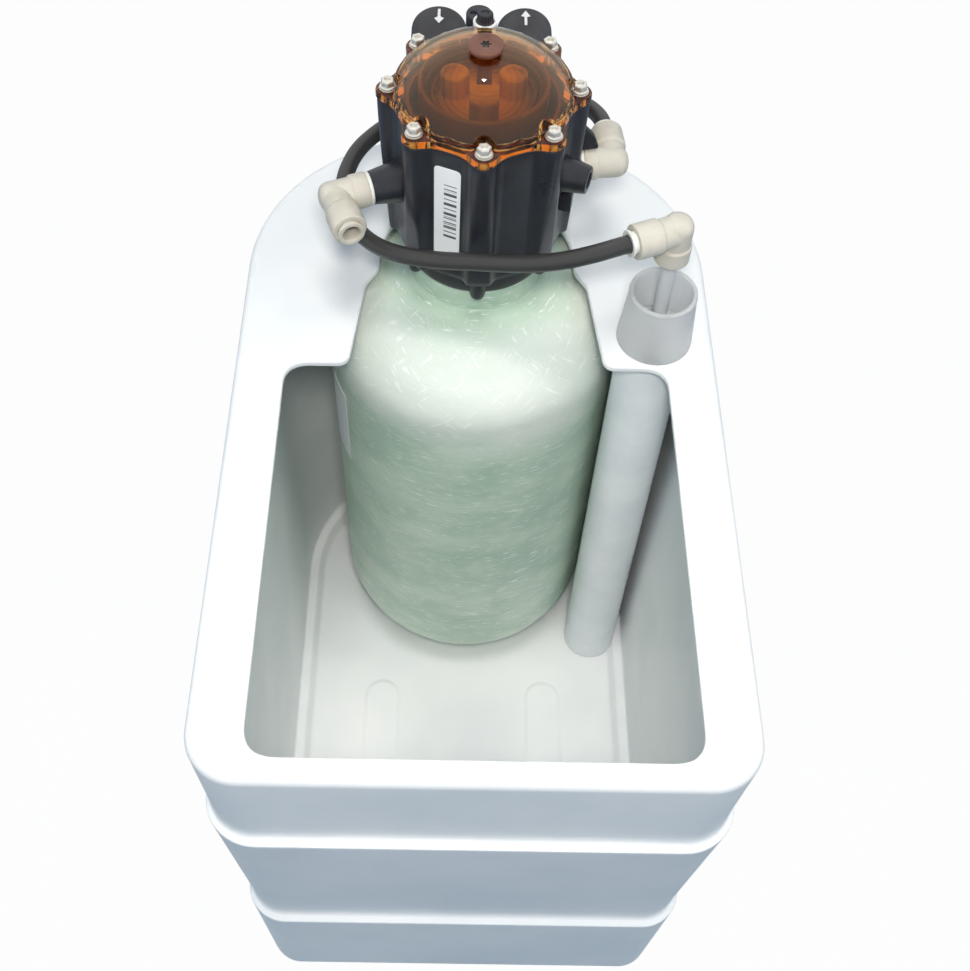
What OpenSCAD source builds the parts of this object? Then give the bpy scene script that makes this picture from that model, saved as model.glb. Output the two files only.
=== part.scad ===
// Water softener: a moulded salt cabinet that holds a glass-fibre resin tank, a water-driven
// control valve under a clear dome, push-fit elbows, a brine hose and a brine well.
// The origin is the middle of the foot, with +X to the right, +Y to the back and +Z up.

/* [Cabinet] */
// Width just under the upper ledge, where the cabinet is widest
cabinet_width = 275; // [272:1:300]
// Depth just under the upper ledge
cabinet_depth = 445; // [436:1:480]
// Height of the top plate
cabinet_height = 380; // [350:1:430]
// Thickness of the moulded walls and of the top plate
wall = 4; // [3:0.5:5]
// Height of the salt floor above the ground
floor_height = 8; // [7:0.5:12]
// Width of the salt opening
opening_width = 216; // [212:1:224]
// Corner radius of the salt opening
opening_corner = 16; // [8:1:24]
// Rim left in front of the salt opening
front_rim = 12.5; // [10:0.5:20]
// Radius of the keyhole round the tank's neck
keyhole_radius = 58; // [52:0.5:60]
// Width of the keyhole where it meets the salt opening
keyhole_mouth = 145; // [128:1:150]
// Height of the upper ledge
upper_ledge = 297; // [260:1:320]
// Height of the lower ledge
lower_ledge = 133; // [100:1:160]
// How far a ledge stands out
ledge_depth = 5.5; // [3:0.5:6.5]
// Radius of the front corners
front_corner = 28; // [20:1:40]
// Radius of the back corners
back_corner = 118; // [90:1:126]
// Width of the two raised bars on the salt floor
bar_width = 31; // [20:1:40]
// Height of the two raised bars on the salt floor
bar_height = 1.5; // [0.5:0.25:3]

/* [Resin tank] */
// Outer radius of the tank
tank_radius = 92; // [86:1:94]
// Thickness of the tank's wall
tank_wall = 3; // [2:0.25:4]
// Rounding between the tank's side and its foot
tank_foot_round = 60; // [30:1:70]
// Rise of the tank's shoulder
shoulder_rise = 54; // [48:1:56]
// Outer radius of the tank's neck
neck_radius = 39; // [37:0.5:40]
// Gap from the tank to the outside of the cabinet's back
back_gap = 20; // [19:0.5:26]
// Height of the resin above the salt floor
resin_level = 250; // [150:1:270]
// Outer radius of the distributor pipe
pipe_radius = 13.5; // [12:0.5:14]
// Height of the lower basket
basket_height = 50; // [40:1:70]

/* [Control valve] */
// Height of the neck's top above the top plate
neck_rise = 24; // [20:1:30]
// Height of the valve body above the neck ring
body_height = 89; // [86:1:96]
// Radius of the circle of cover screws
screw_circle = 50; // [49:0.5:52]
// Radius of a screw boss
boss_radius = 6; // [5.5:0.25:7]
// Radius of a cover screw's shank
screw_radius = 1.7; // [1.5:0.1:2]
// Thickness of the cover's flange at the screws
flange_thickness = 4.5; // [3.5:0.25:6]
// Radius of the cover's round edge
cover_radius = 47; // [46:0.5:48]
// Height of the cover's round edge above the body
cover_edge = 7; // [6.5:0.25:9]
// Height of the cover's top above the body
cover_rise = 29; // [28:0.5:34]
// Thickness of the cover
cover_wall = 3; // [2:0.25:3.5]
// Radius of the start knob
knob_radius = 9.3; // [8:0.1:11]
// Radius of the control shaft
shaft_radius = 4; // [3.5:0.25:4.5]
// Radius of the gear pins
pin_radius = 1.5; // [1.2:0.1:1.8]
// Pitch radius per gear tooth, doubled
gear_module = 1; // [0.9:0.02:1.04]
// Radius of the piston
piston_radius = 6.8; // [5.5:0.1:7]
// Length of the piston
piston_length = 20; // [14:1:26]
// Travel of the piston
piston_travel = 15; // [8:1:18]

/* [Pipe fittings] */
// Outer diameter of the brine hose
hose_diameter = 9.5; // [8:0.25:10]
// Outer radius of a push-fit elbow
elbow_radius = 9.5; // [9:0.25:10.5]
// Radius of an elbow's stem
stem_radius = 6; // [5:0.25:6.5]
// Radius of a side stub on the valve body
stub_radius = 9; // [8:0.25:10]
// Radius of the open side stub
open_radius = 7.5; // [6.5:0.25:8.5]
// Bore radius of the open side stub
open_bore = 4.6; // [3.5:0.1:5]
// Outer radius of the inlet and outlet sleeves
sleeve_radius = 16.3; // [15.5:0.1:16.8]
// Bore radius of the inlet and outlet sleeves
sleeve_bore = 10.5; // [9:0.25:11]
// Half the distance between the sleeves
sleeve_spacing = 25; // [25:0.5:27]
// Length of a sleeve
sleeve_length = 52; // [45:1:55]
// Travel of a release collet
collet_travel = 1.5; // [1:0.1:2]

/* [Brine well] */
// Outer radius of the well tube
well_radius = 19.5; // [18.5:0.25:20]
// Thickness of the well tube
well_wall = 2; // [1.5:0.25:2.5]
// Height of the cup on the top plate
cup_height = 38; // [25:1:45]
// Radius of the riser tube
riser_radius = 4.25; // [3.5:0.25:4.75]
// Radius of the float
float_radius = 14; // [11:0.5:14.5]
// Length of the float
float_length = 40; // [25:1:60]
// Travel of the float
float_travel = 50; // [20:1:90]
// Radius of the check ball
ball_radius = 5; // [4.5:0.25:5.5]
// Travel of the check ball
ball_travel = 6; // [4:0.5:8]

/* [Hidden] */

$fn = 64;

// Clearances: parts that are pressed or screwed together, and parts that run on each other
fit_gap = 0.03;
run_gap = 0.06;
// Overshoot of a cut past the face that it opens
cut = 1;

// Cabinet sections: how far each level of wall leans in, and the share of it on the sides
rim_lean = 2.5;
middle_lean = 13;
lower_taper = 6;
foot_lean = middle_lean - ledge_depth + lower_taper;
side_share = 0.42;
corner_share = 0.5;
least_corner = 4;
foot_round = 12;
foot_recess = 30;
rim_round = 6;
floor_fillet = 10;
corner_steps = 7;
bar_offset = 63;
bar_front = 20;
bar_back = 17;

// Places shared by the head, the tank and the well
tank_y = cabinet_depth / 2 - back_gap - tank_radius;
opening_front = -cabinet_depth / 2 + rim_lean + front_rim;
// The well stands clear of the cabinet's side and of the tank
well_side_gap = 6.3;
well_tank_gap = 6.6;
well_x = cabinet_width / 2 - side_share * foot_lean - wall - well_side_gap - well_radius;
well_y = tank_y - sqrt(pow(tank_radius + well_tank_gap + well_radius, 2) - pow(well_x, 2));
well_hole = well_radius + 0.5;
// The opening ends in front of the well's hole
well_web = 3.5;
opening_back = well_y - well_hole - well_web;
shoulder_over = 2;
shoulder_z = cabinet_height - shoulder_rise + shoulder_over;
neck_top = cabinet_height + neck_rise;

// Control valve levels
spigot_height = 6;
body_base = neck_top + spigot_height;
body_top = body_base + body_height;
chamber_floor = body_base + 4;
plate_z = body_top - 24;
plate_thickness = 3;
plate_port = 4;
plate_port_reach = 26;
plate_top = plate_z + plate_thickness;
chamber_radius = 30;
mechanism_radius = 38;
cover_top = body_top + cover_rise;
cap_height = cover_rise - cover_edge;
cap_radius = (pow(cover_radius, 2) + pow(cap_height, 2)) / (2 * cap_height);
cap_centre = cover_top - cap_radius;
washer_z = body_top + flange_thickness;

// Gears: tooth counts, levels above the plate and places about the control shaft
control_teeth = 36;
pinion_teeth = 12;
wheel_teeth = 20;
half_tooth = 180 / pinion_teeth;
gear_width = 4;
pin_hub = 1.5;
pin_proud = 0.5;
vane_level = plate_top + 1;
vane_height = 6;
wheel_level = plate_top + 8;
control_level = wheel_level + gear_width + 1;
disc_level = control_level + gear_width + 1;
idler_distance = gear_module * (control_teeth + pinion_teeth) / 2;
turbine_distance = gear_module * (wheel_teeth + pinion_teeth) / 2;
idler_angle = 90;
turbine_angle = 200;
idler_place = idler_distance * [cos(idler_angle), sin(idler_angle)];
turbine_place = idler_place + turbine_distance * [cos(turbine_angle), sin(turbine_angle)];
piston_place = [0, -21.5];
rod_radius = 2.5;
rod_head = 2;

// Side stubs: turn about the tank's axis, height, and reach from the axis
drain_angle = 200.8;
drain_rise = 45;
drain_z = body_base + drain_rise;
drain_reach = 64;
drain_run = 18;
open_angle = -20.8;
open_rise = 53;
open_z = body_base + open_rise;
open_reach = 62;
port_angle = 6;
port_rise = 40;
port_z = body_base + port_rise;
port_reach = screw_circle + boss_radius - 1;
port_run = 17;
lock_ring = 2;
elbow_stem = 22;
drain_leg = 27;
collet_out = collet_travel + 0.5;
collet_depth = 6;
hose_room = 0.15;
collet_flange = 1.2;
socket_depth = 14;

// Rear ports
sleeve_rise = 55;
sleeve_z = body_base + sleeve_rise;
sleeve_start = 50;
nipple_radius = 13;
nipple_reach = 64;
seal_wire = 1.2;
plug_place = [-2.5, 67];
plug_drop = 5;
plug_z = body_top - plug_drop;
plug_gap = 0.2;
plug_boss = sleeve_spacing - sleeve_radius + plug_place[0] - plug_gap;
plug_radius = 7.2;

// Brine well levels
foot_base = 4;
foot_flange = 2;
foot_radius = 16;
tube_base = floor_height + foot_base + foot_flange;
check_base = tube_base + 2;
check_seat = 6;
check_bore = ball_radius + 2;
check_radius = check_bore + 4;
seat_radius = ball_radius - 2;
ball_rest = sqrt(pow(ball_radius, 2) - pow(seat_radius, 2)) + 0.1;
cage_height = ball_rest + ball_radius + ball_travel + 0.5;
cage_roof = 2;
riser_socket = 10;
check_height = check_seat + cage_height + cage_roof + riser_socket;
slot_width = 3;
stop_radius = riser_radius + 2.75;
stop_height = 3;
lower_stop = check_base + check_height + 4;
float_base = lower_stop + stop_height;
well_elbow_rise = 84;
well_elbow_z = cabinet_height + well_elbow_rise;
well_elbow_angle = 202;
well_elbow_drop = 20;
well_elbow_run = 25;

hose_radius = hose_diameter / 2;
collet_radius = hose_radius + 1.5;
elbow_collar = 1;
water_bore = 3;

// Smaller derived sizes
basket_base = floor_height + tank_wall;
basket_radius = pipe_radius + 5.5;
basket_floor = 3;
basket_socket = 12;
pipe_base = basket_base + basket_height - basket_socket;
upper_basket_height = 22;
upper_basket_radius = neck_radius - 2 * tank_wall - 4;
basket_wall = 2.5;
slit = 1.2;
slit_length = 8;
slit_step = 4;
pipe_wall = 2;
pipe_stand = 4;
neck_wire = 1.5;
seal_circle = neck_radius - tank_wall;
ring_height = 16;
ring_radius = neck_radius + 2.5;
lug_radius = 4.6;
lug_drop = 2.5;
lug_sink = 0.6;
lug_top = 2;
gasket_in = 40.5;
gasket_out = 43.5;
gasket_height = 1.6;
cover_hollow = 40;
flange_lip = 0.5;
pocket_room = 0.8;
screw_room = 0.3;
screw_depth = 16;
screw_head = 4.2;
head_height = 5;
washer_height = 0.8;
vent_washer_height = 1.5;
vent_height = 7;
vent_depth = 8;
vent_boss = 10;
vent_reach = 32;
vent_drop = 9.5;
vent_z = cover_top - vent_drop;
knob_base = cover_top + 0.4;
knob_height = 3.6;
knob_socket = 1.6;
disc_radius = 34;
lobe_offset = 15;
lobe_radius = 7.5;
lobe_height = 15;
lobe_back = 4;
lobe_wall = 2;
tower = [15, 12, 17];
tower_front = 20;
disc_hub = 5;
disc_floor = 3;
vane_radius = 8.5;
piston_base = chamber_floor + 6;
fin_thickness = 4;
side_lug = [9, 6, 12];
side_lug_turn = 6;
side_lug_rise = 24;
fin_root = 8;
fin_step = 2;
fin_gap = 11;
fin_reach = 15;
fin_tip = 8;
fin_height = 42;
stub_flare = 4;
body_flare = 1.5;
flare_root = cover_radius - 4;
flare_width = 14;
nipple_bore = 8;
seal_reach = 57;
plug_boss_height = 42;
plug_web = 8;
key_hole = 1.5;
key_offset = 3.2;
key_depth = 2.5;
plug_depth = 12;
plug_shank = 5;
plug_head = 8;
port_leg = 24;
riser_insert = 12;
riser_wall = 1.2;
cup_wall = 2.2;
cup_rim = well_radius - 0.9;
cup_lip = 2;
tube_proud = 6;
riser_base = check_base + check_height - riser_socket;
hose_insert = 12;
hose_lead = 8;
ball_z = check_base + check_seat + ball_rest;

// One level of the cabinet: lean of the wall, inset from it, and height
function section(lean, inset, z) =
    let (w = cabinet_width / 2 - side_share * lean - inset,
         front = -cabinet_depth / 2 + lean + inset,
         back = cabinet_depth / 2 - side_share * lean - inset,
         rf = max(front_corner - corner_share * lean - inset, least_corner),
         rb = max(back_corner - side_share * lean - inset, least_corner))
    concat(
        corner(w - rf, front + rf, rf, -90, corner_steps, z),
        corner(w - rb, back - rb, rb, 0, 2 * corner_steps, z),
        corner(rb - w, back - rb, rb, 90, 2 * corner_steps, z),
        corner(rf - w, front + rf, rf, 180, corner_steps, z));

// Points of a quarter turn about [x, y]
function corner(x, y, r, start, steps, z) =
    [for (i = [0:steps]) [x + r * cos(start + 90 * i / steps), y + r * sin(start + 90 * i / steps), z]];

// A closed solid through rings of equally many points, lowest ring first
module loft(rings) {
    n = len(rings[0]);
    last = (len(rings) - 1) * n;
    sides = [for (k = [0:len(rings) - 2], i = [0:n - 1], half = [0, 1])
        let (a = k * n + i, b = k * n + (i + 1) % n)
        half == 0 ? [a, a + n, b + n] : [a, b + n, b]];
    polyhedron([for (ring = rings, p = ring) p],
        concat([[for (i = [0:n - 1]) i]], sides, [[for (i = [n - 1:-1:0]) last + i]]));
}

// Levels of a ledge: the wall above curves out to a sharp edge
function ledge(lean, z) = [
    section(lean - ledge_depth, 0, z - 1.2),
    section(lean - ledge_depth + 0.4, 0, z),
    section(lean - 0.36 * ledge_depth, 0, z + 0.9),
    section(lean - 0.12 * ledge_depth, 0, z + 2.4),
    section(lean, 0, z + 5)];

// Rounded rectangle between two corners
function rounded(x0, y0, x1, y1, r) = [for (p = concat(
    corner(x1 - r, y0 + r, r, -90, corner_steps, 0), corner(x1 - r, y1 - r, r, 0, corner_steps, 0),
    corner(x0 + r, y1 - r, r, 90, corner_steps, 0), corner(x0 + r, y0 + r, r, 180, corner_steps, 0)))
    [p[0], p[1]]];

// Keyhole about the tank's axis: a tapered mouth, a step and a round end
step_front = 21;
step_back = 9;
function keyhole() =
    let (mouth = [[keyhole_mouth / 2, opening_back - tank_y - cut],
                  [keyhole_mouth / 4 + keyhole_radius / 2, -step_front], [keyhole_radius, -step_back]],
         arc = [for (a = [0:6:180]) keyhole_radius * [cos(a), sin(a)]])
    concat(mouth, arc, [for (i = [2:-1:0]) [-mouth[i][0], mouth[i][1]]]);

// Half outline of the tank, inset by a wall's thickness
function tank_outline(inset, top) =
    let (side = tank_radius - inset, round_r = tank_foot_round - inset, neck = neck_radius - 2 * inset,
         rise = shoulder_rise - inset, turn = acos(neck / side))
    concat([[0, floor_height + inset]],
        [for (a = [-90:7.5:0]) [side - round_r + round_r * cos(a),
            floor_height + inset + round_r + round_r * sin(a)]],
        [for (i = [0:12]) let (a = turn * i / 12) [side * cos(a), shoulder_z + rise * sin(a)]],
        [[neck, top]]);

// Gear outline with straight-flanked teeth; the first tooth points along +X
function gear_points(teeth) =
    let (pitch = 360 / teeth, rp = gear_module * teeth / 2,
         root = rp - 1.1 * gear_module, tip = rp + 0.8 * gear_module)
    [for (i = [0:teeth - 1], p = [[root, -0.3], [rp, -0.215], [tip, -0.1],
                                  [tip, 0.1], [rp, 0.215], [root, 0.3]])
        let (a = pitch * (i + p[1])) p[0] * [cos(a), sin(a)]];

module at_axis() { translate([0, tank_y, 0]) children(); }
module at_well() { translate([well_x, well_y, 0]) children(); }
module ring(r_out, r_in, h) {
    difference() {
        cylinder(r = r_out, h = h);
        translate([0, 0, -cut]) cylinder(r = r_in, h = h + 2 * cut);
    }
}
module seal_ring(r, wire) { rotate_extrude() translate([r, 0]) circle(r = wire, $fn = 24); }
// Turn the children's +Z to point out along a stub at this angle and height
module along_stub(angle, z, reach) {
    translate([0, 0, z]) rotate([0, 0, angle]) translate([reach, 0, 0]) rotate([0, 90, 0]) children();
}
module at_screws(angles) {
    for (a = angles) rotate([0, 0, a]) translate([screw_circle, 0, 0]) children();
}
all_screws = [0:45:315];

// Cabinet: the outer walls less the inside, the hollow under the foot and the holes in the top plate
module cabinet() color("whitesmoke") {
    difference() {
        loft(concat(foot_levels(), ledge(middle_lean, lower_ledge),
            ledge(ledge_depth, upper_ledge), rim_levels()));
        loft(inner_levels());
        translate([0, 0, -cut])
            loft([for (z = [0, floor_height - wall + cut]) section(foot_lean, foot_recess, z)]);
        translate([0, 0, cabinet_height - wall - cut]) linear_extrude(wall + 2 * cut) plate_holes();
    }
    for (side = [-1, 1]) translate([side * bar_offset, 0, floor_height - bar_sink])
        linear_extrude(bar_height + bar_sink) polygon(rounded(-bar_width / 2, opening_front + bar_front,
            bar_width / 2, opening_back - bar_back, bar_corner));
}
bar_sink = 0.5;
bar_corner = 0.45 * bar_width;
function foot_levels() = [for (s = [[0.9, 0], [0.35, 0.12], [0.1, 0.42], [0, 1]])
    section(foot_lean, s[0] * foot_round, s[1] * foot_round)];
function rim_levels() = [for (s = [[0, 1], [0.12, 0.5], [0.38, 0.16], [0.85, 0]])
    section(rim_lean, s[0] * rim_round, cabinet_height - s[1] * rim_round)];
function inner_levels() = concat(
    [for (s = [[0.7, 0], [0.26, 0.16], [0.08, 0.46], [0, 1]])
        section(foot_lean, wall + s[0] * floor_fillet, floor_height + s[1] * floor_fillet)],
    [section(middle_lean, wall, lower_ledge), section(ledge_depth, wall, upper_ledge),
     section(rim_lean, wall, cabinet_height - wall)]);
module plate_holes() {
    polygon(rounded(-opening_width / 2, opening_front, opening_width / 2, opening_back, opening_corner));
    translate([0, tank_y]) polygon(keyhole());
    translate([well_x, well_y]) circle(r = well_hole);
}

// Resin tank and what it holds
module resin_tank() color("darkseagreen") at_axis() rotate_extrude()
    polygon(concat(tank_outline(0, neck_top), reversed(tank_outline(tank_wall, neck_top))));
function reversed(list) = [for (i = [len(list) - 1:-1:0]) list[i]];

module resin_bed() color("goldenrod") at_axis() difference() {
    rotate_extrude() intersection() {
        polygon(concat(tank_outline(tank_wall, neck_top), [[0, neck_top]]));
        square([tank_radius, floor_height + resin_level]);
    }
    cylinder(r = pipe_radius + run_gap, h = neck_top);
    cylinder(r = basket_radius + run_gap, h = basket_base + basket_height + run_gap);
}

module distributor_pipe() color("ivory") at_axis() translate([0, 0, pipe_base])
    ring(pipe_radius, pipe_radius - pipe_wall, chamber_floor + pipe_stand - pipe_base);

module lower_basket() color("ivory") at_axis() translate([0, 0, basket_base]) difference() {
    cylinder(r = basket_radius, h = basket_height);
    translate([0, 0, basket_floor]) cylinder(r = pipe_radius - pipe_wall, h = basket_height);
    translate([0, 0, basket_height - basket_socket]) cylinder(r = pipe_radius + fit_gap, h = basket_height);
    slit_top = basket_height - basket_socket - slit_step - slit;
    for (z = [slit_step:slit_step:slit_top], a = [0:60:300]) rotate([0, 0, a])
        translate([pipe_radius - 2 * pipe_wall, -slit_length / 2, z + basket_floor])
            cube([basket_radius, slit_length, slit]);
}

module upper_basket() color("ivory") at_axis() translate([0, 0, neck_top - upper_basket_height])
difference() {
    ring(upper_basket_radius, pipe_radius + run_gap, upper_basket_height);
    translate([0, 0, basket_floor])
        ring(upper_basket_radius - basket_wall, pipe_radius + basket_wall, upper_basket_height);
    for (a = [0:15:345]) rotate([0, 0, a])
        translate([upper_basket_radius - 2 * basket_wall, -slit / 2, slit_step])
            cube([neck_radius, slit, upper_basket_height - 2 * slit_step]);
}

module neck_seal() color("black") at_axis()
    translate([0, 0, neck_top + neck_wire]) seal_ring(seal_circle, neck_wire);

module neck_ring() color("black") at_axis() translate([0, 0, body_base - ring_height]) difference() {
    union() {
        cylinder(r = ring_radius, h = ring_height);
        for (a = [30:60:330]) rotate([0, 0, a]) translate([ring_radius - lug_sink, 0, -lug_drop])
            cylinder(r = lug_radius, h = ring_height + lug_drop - lug_top);
    }
    translate([0, 0, -lug_drop - cut])
        cylinder(r = neck_radius + fit_gap, h = ring_height + lug_drop + 2 * cut);
}

// Wings that run from the panels out to the screws
module flares(h) for (a = all_screws) rotate([0, 0, a]) linear_extrude(h)
    polygon([[flare_root, -flare_width], [screw_circle + boss_radius / 2, -boss_radius],
             [screw_circle + boss_radius / 2, boss_radius], [flare_root, flare_width]]);

// Valve body: an octagon with a boss at each corner, drawn in towards its foot
module valve_body() color("black") at_axis() difference() {
    union() {
        intersection() {
            translate([0, 0, body_base]) union() {
                cylinder(r = screw_circle + 0.5, h = body_height, $fn = 8);
                at_screws(all_screws) cylinder(r = boss_radius, h = body_height);
                flares(body_height);
            }
            translate([0, 0, body_base])
                cylinder(r1 = screw_circle + body_flare, r2 = screw_circle + boss_radius + 1, h = body_height);
        }
        translate([0, 0, neck_top]) cylinder(r = neck_radius, h = spigot_height);
        stub(drain_angle, drain_z, drain_reach, stub_radius);
        stub(open_angle, open_z, open_reach, open_radius);
        stub(port_angle, port_z, port_reach, stub_radius);
        stub_fin();
        rotate([0, 0, open_angle + side_lug_turn])
            translate([screw_circle - boss_radius, -side_lug[1] / 2, body_base + side_lug_rise])
                cube(side_lug);
        for (x = [-1, 1]) nipple(x * sleeve_spacing);
        rear_boss();
    }
    translate([0, 0, chamber_floor]) cylinder(r = chamber_radius, h = body_height);
    translate([0, 0, plate_z]) cylinder(r = mechanism_radius, h = body_height);
    translate([0, 0, neck_top - cut]) cylinder(r = pipe_radius + fit_gap, h = body_height);
    translate([0, 0, neck_top - cut])
        ring(seal_circle + neck_wire, seal_circle - neck_wire, 2 * neck_wire + cut);
    translate([0, 0, body_top - gasket_height]) ring(gasket_out, gasket_in, gasket_height + cut);
    at_screws(all_screws) translate([0, 0, body_top - screw_depth])
        cylinder(r = screw_radius + run_gap, h = screw_depth + cut);
    stub_bore(drain_angle, drain_z, drain_reach);
    stub_bore(port_angle, port_z, port_reach);
    along_stub(open_angle, open_z, open_reach - socket_depth) cylinder(r = open_bore, h = socket_depth + cut);
    along_stub(open_angle, open_z, chamber_radius - wall) cylinder(r = water_bore, h = open_reach);
    for (x = [-1, 1]) translate([x * sleeve_spacing, 0, sleeve_z]) rotate([-90, 0, 0]) nipple_cuts();
    translate([plug_place[0], plug_place[1], plug_z - plug_depth])
        cylinder(r = plug_shank + fit_gap, h = plug_depth + cut);
}
module stub(angle, z, reach, r) along_stub(angle, z, mechanism_radius)
    cylinder(r1 = r + stub_flare, r2 = r, h = reach - mechanism_radius);
module stub_bore(angle, z, reach) {
    along_stub(angle, z, reach - elbow_stem) cylinder(r = stem_radius + run_gap, h = elbow_stem + cut);
    along_stub(angle, z, chamber_radius - wall) cylinder(r = water_bore + 1, h = reach - chamber_radius);
}
// Triangular gusset over the right rear stub
module stub_fin() rotate([0, 0, port_angle]) translate([0, fin_thickness / 2, port_z])
    rotate([90, 0, 0]) linear_extrude(fin_thickness) translate([screw_circle, 0])
        polygon([[-fin_root, 0], [fin_step, 0], [fin_step, fin_gap], [fin_reach, fin_gap + 1],
            [fin_reach - 3, fin_gap + 1 + fin_tip], [-fin_root, fin_height]]);
module nipple(x) translate([x, 0, sleeve_z]) rotate([-90, 0, 0]) translate([0, 0, chamber_radius])
    cylinder(r = nipple_radius, h = nipple_reach - chamber_radius);
module nipple_cuts() {
    translate([0, 0, chamber_radius - 14]) cylinder(r = nipple_bore, h = nipple_reach);
    translate([0, 0, seal_reach - seal_wire])
        ring(nipple_radius + cut, nipple_radius - 2 * seal_wire, 2 * seal_wire);
}
module rear_boss() {
    translate([plug_place[0], plug_place[1], plug_z - plug_boss_height])
        cylinder(r = plug_boss, h = plug_boss_height);
    translate([-plug_web / 2, screw_circle - boss_radius, plug_z - plug_boss_height])
        cube([plug_web, plug_place[1] - screw_circle + boss_radius / 2, plug_boss_height]);
}

// Cover and its fasteners
module dome_cover() color("darkorange", 0.6) at_axis() difference() {
    union() {
        difference() {
            union() {
                translate([0, 0, body_top]) cylinder(r = cover_radius, h = cover_edge);
                cap(cap_radius);
                at_screws(all_screws) translate([0, 0, body_top])
                    cylinder(r = boss_radius + flange_lip, h = flange_thickness);
                translate([0, 0, body_top]) flares(flange_thickness);
            }
            translate([0, 0, body_top - cut]) cylinder(r = cover_hollow, h = cover_edge - cover_wall + cut);
            intersection() {
                cap(cap_radius - cover_wall);
                translate([0, 0, body_top]) cylinder(r = cover_hollow, h = cover_rise);
            }
        }
        at_vent() translate([0, 0, -vent_boss]) cylinder(r = boss_radius + flange_lip, h = vent_boss);
    }
    at_vent() {
        cylinder(r = boss_radius + pocket_room, h = cover_rise);
        translate([0, 0, -cover_rise]) cylinder(r = screw_radius + run_gap, h = 2 * cover_rise);
    }
    translate([0, 0, body_top]) cylinder(r = shaft_radius + run_gap, h = 2 * cover_rise);
    at_screws(all_screws) {
        translate([0, 0, body_top - cut]) cylinder(r = screw_radius + screw_room, h = 2 * flange_thickness);
        translate([0, 0, washer_z]) cylinder(r = boss_radius + pocket_room, h = 2 * cover_rise);
    }
}
module at_vent() translate([0, vent_reach, vent_z]) children();
module cap(r) intersection() {
    translate([0, 0, cap_centre]) sphere(r = r);
    translate([0, 0, body_top]) cylinder(r = cover_radius, h = 2 * cover_rise);
}
module cover_gasket() color("dimgray") at_axis() translate([0, 0, body_top - gasket_height])
    ring(gasket_out, gasket_in, gasket_height);

module cover_screws() color("silver") at_axis() at_screws(all_screws) {
    translate([0, 0, body_top - screw_depth + 2])
        cylinder(r = screw_radius, h = screw_depth + flange_thickness);
    translate([0, 0, washer_z + washer_height]) difference() {
        union() {
            cylinder(r = screw_head, h = 1.2);
            cylinder(r = screw_head - 0.5, h = head_height, $fn = 6);
        }
        translate([0, 0, head_height - 1.5]) cylinder(r = screw_head / 2.5, h = 2);
    }
}
module cover_washers() color("gainsboro") at_axis() at_screws(all_screws) translate([0, 0, washer_z])
    ring(screw_head + 0.5, screw_radius + run_gap, washer_height);

module vent_screw() color("black") at_axis() at_vent() {
    translate([0, 0, -vent_depth]) cylinder(r = screw_radius, h = vent_depth + vent_washer_height + cut);
    translate([0, 0, vent_washer_height]) difference() {
        union() {
            cylinder(r = screw_head + 0.6, h = 3);
            cylinder(r = screw_head - 0.4, h = vent_height);
        }
        translate([-screw_head - cut, -0.6, vent_height - 1.5]) cube([2 * screw_head + 2 * cut, 1.2, 2]);
    }
}
module vent_washer() color("white") at_axis() at_vent()
    ring(boss_radius, screw_radius + run_gap, vent_washer_height);

// Mechanism under the cover
module mechanism_plate() color("saddlebrown") at_axis() translate([0, 0, plate_z]) difference() {
    cylinder(r = mechanism_radius - fit_gap, h = plate_thickness);
    for (hole = [[[0, 0], shaft_radius + run_gap], [idler_place, pin_radius + fit_gap],
                 [turbine_place, pin_radius + fit_gap]])
        translate([hole[0][0], hole[0][1], -cut]) cylinder(r = hole[1], h = plate_thickness + 2 * cut);
    for (a = [135, 315]) rotate([0, 0, a]) translate([plate_port_reach, 0, -cut])
        cylinder(r = plate_port, h = plate_thickness + 2 * cut);
}
module control_shaft() color("sienna") at_axis() {
    translate([0, 0, plate_z]) cylinder(r = shaft_radius, h = knob_base + knob_socket - plate_z);
    translate([0, 0, plate_top]) cylinder(r = shaft_radius + 3, h = control_level - plate_top);
}
module control_gear() color("peru") at_axis() translate([0, 0, control_level]) difference() {
    linear_extrude(gear_width) polygon(gear_points(control_teeth));
    translate([0, 0, -cut]) cylinder(r = shaft_radius + fit_gap, h = gear_width + 2 * cut);
}
module control_disc() color("chocolate") at_axis() difference() {
    union() {
        translate([0, 0, control_level + gear_width])
            cylinder(r = shaft_radius + disc_hub, h = disc_level - control_level);
        translate([0, 0, disc_level]) {
            cylinder(r = disc_radius, h = disc_floor);
            ring(disc_radius, disc_radius - 2.5, 5);
            ring(disc_radius - 6, disc_radius - 8, 6.5);
            at_lobes() cylinder(r = lobe_radius, h = lobe_height);
            translate([-tower[0] / 2, -tower_front, 0]) cube(tower);
        }
    }
    translate([0, 0, control_level]) cylinder(r = shaft_radius + fit_gap, h = cover_rise + body_height);
    translate([0, 0, disc_level + disc_floor]) {
        at_lobes() cylinder(r = lobe_radius - lobe_wall, h = lobe_height);
        translate([lobe_wall - tower[0] / 2, lobe_wall - tower_front, 0])
            cube([tower[0] - 2 * lobe_wall, tower[1] - 2 * lobe_wall, tower[2]]);
    }
}
module at_lobes() for (side = [-1, 1]) translate([side * lobe_offset, lobe_back, 0]) children();
module start_knob() color("maroon") at_axis() translate([0, 0, knob_base]) difference() {
    union() {
        cylinder(r = knob_radius, h = knob_height - 0.8);
        cylinder(r1 = knob_radius, r2 = knob_radius - 0.8, h = knob_height);
    }
    translate([0, 0, -cut]) cylinder(r = shaft_radius + fit_gap, h = knob_socket + cut);
    translate([0, 0, knob_socket + 0.6]) linear_extrude(knob_height)
        polygon([for (i = [0:11]) (i % 2 == 0 ? 0.3 : 0.19) * knob_radius * [cos(30 * i), sin(30 * i)]]);
}
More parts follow.
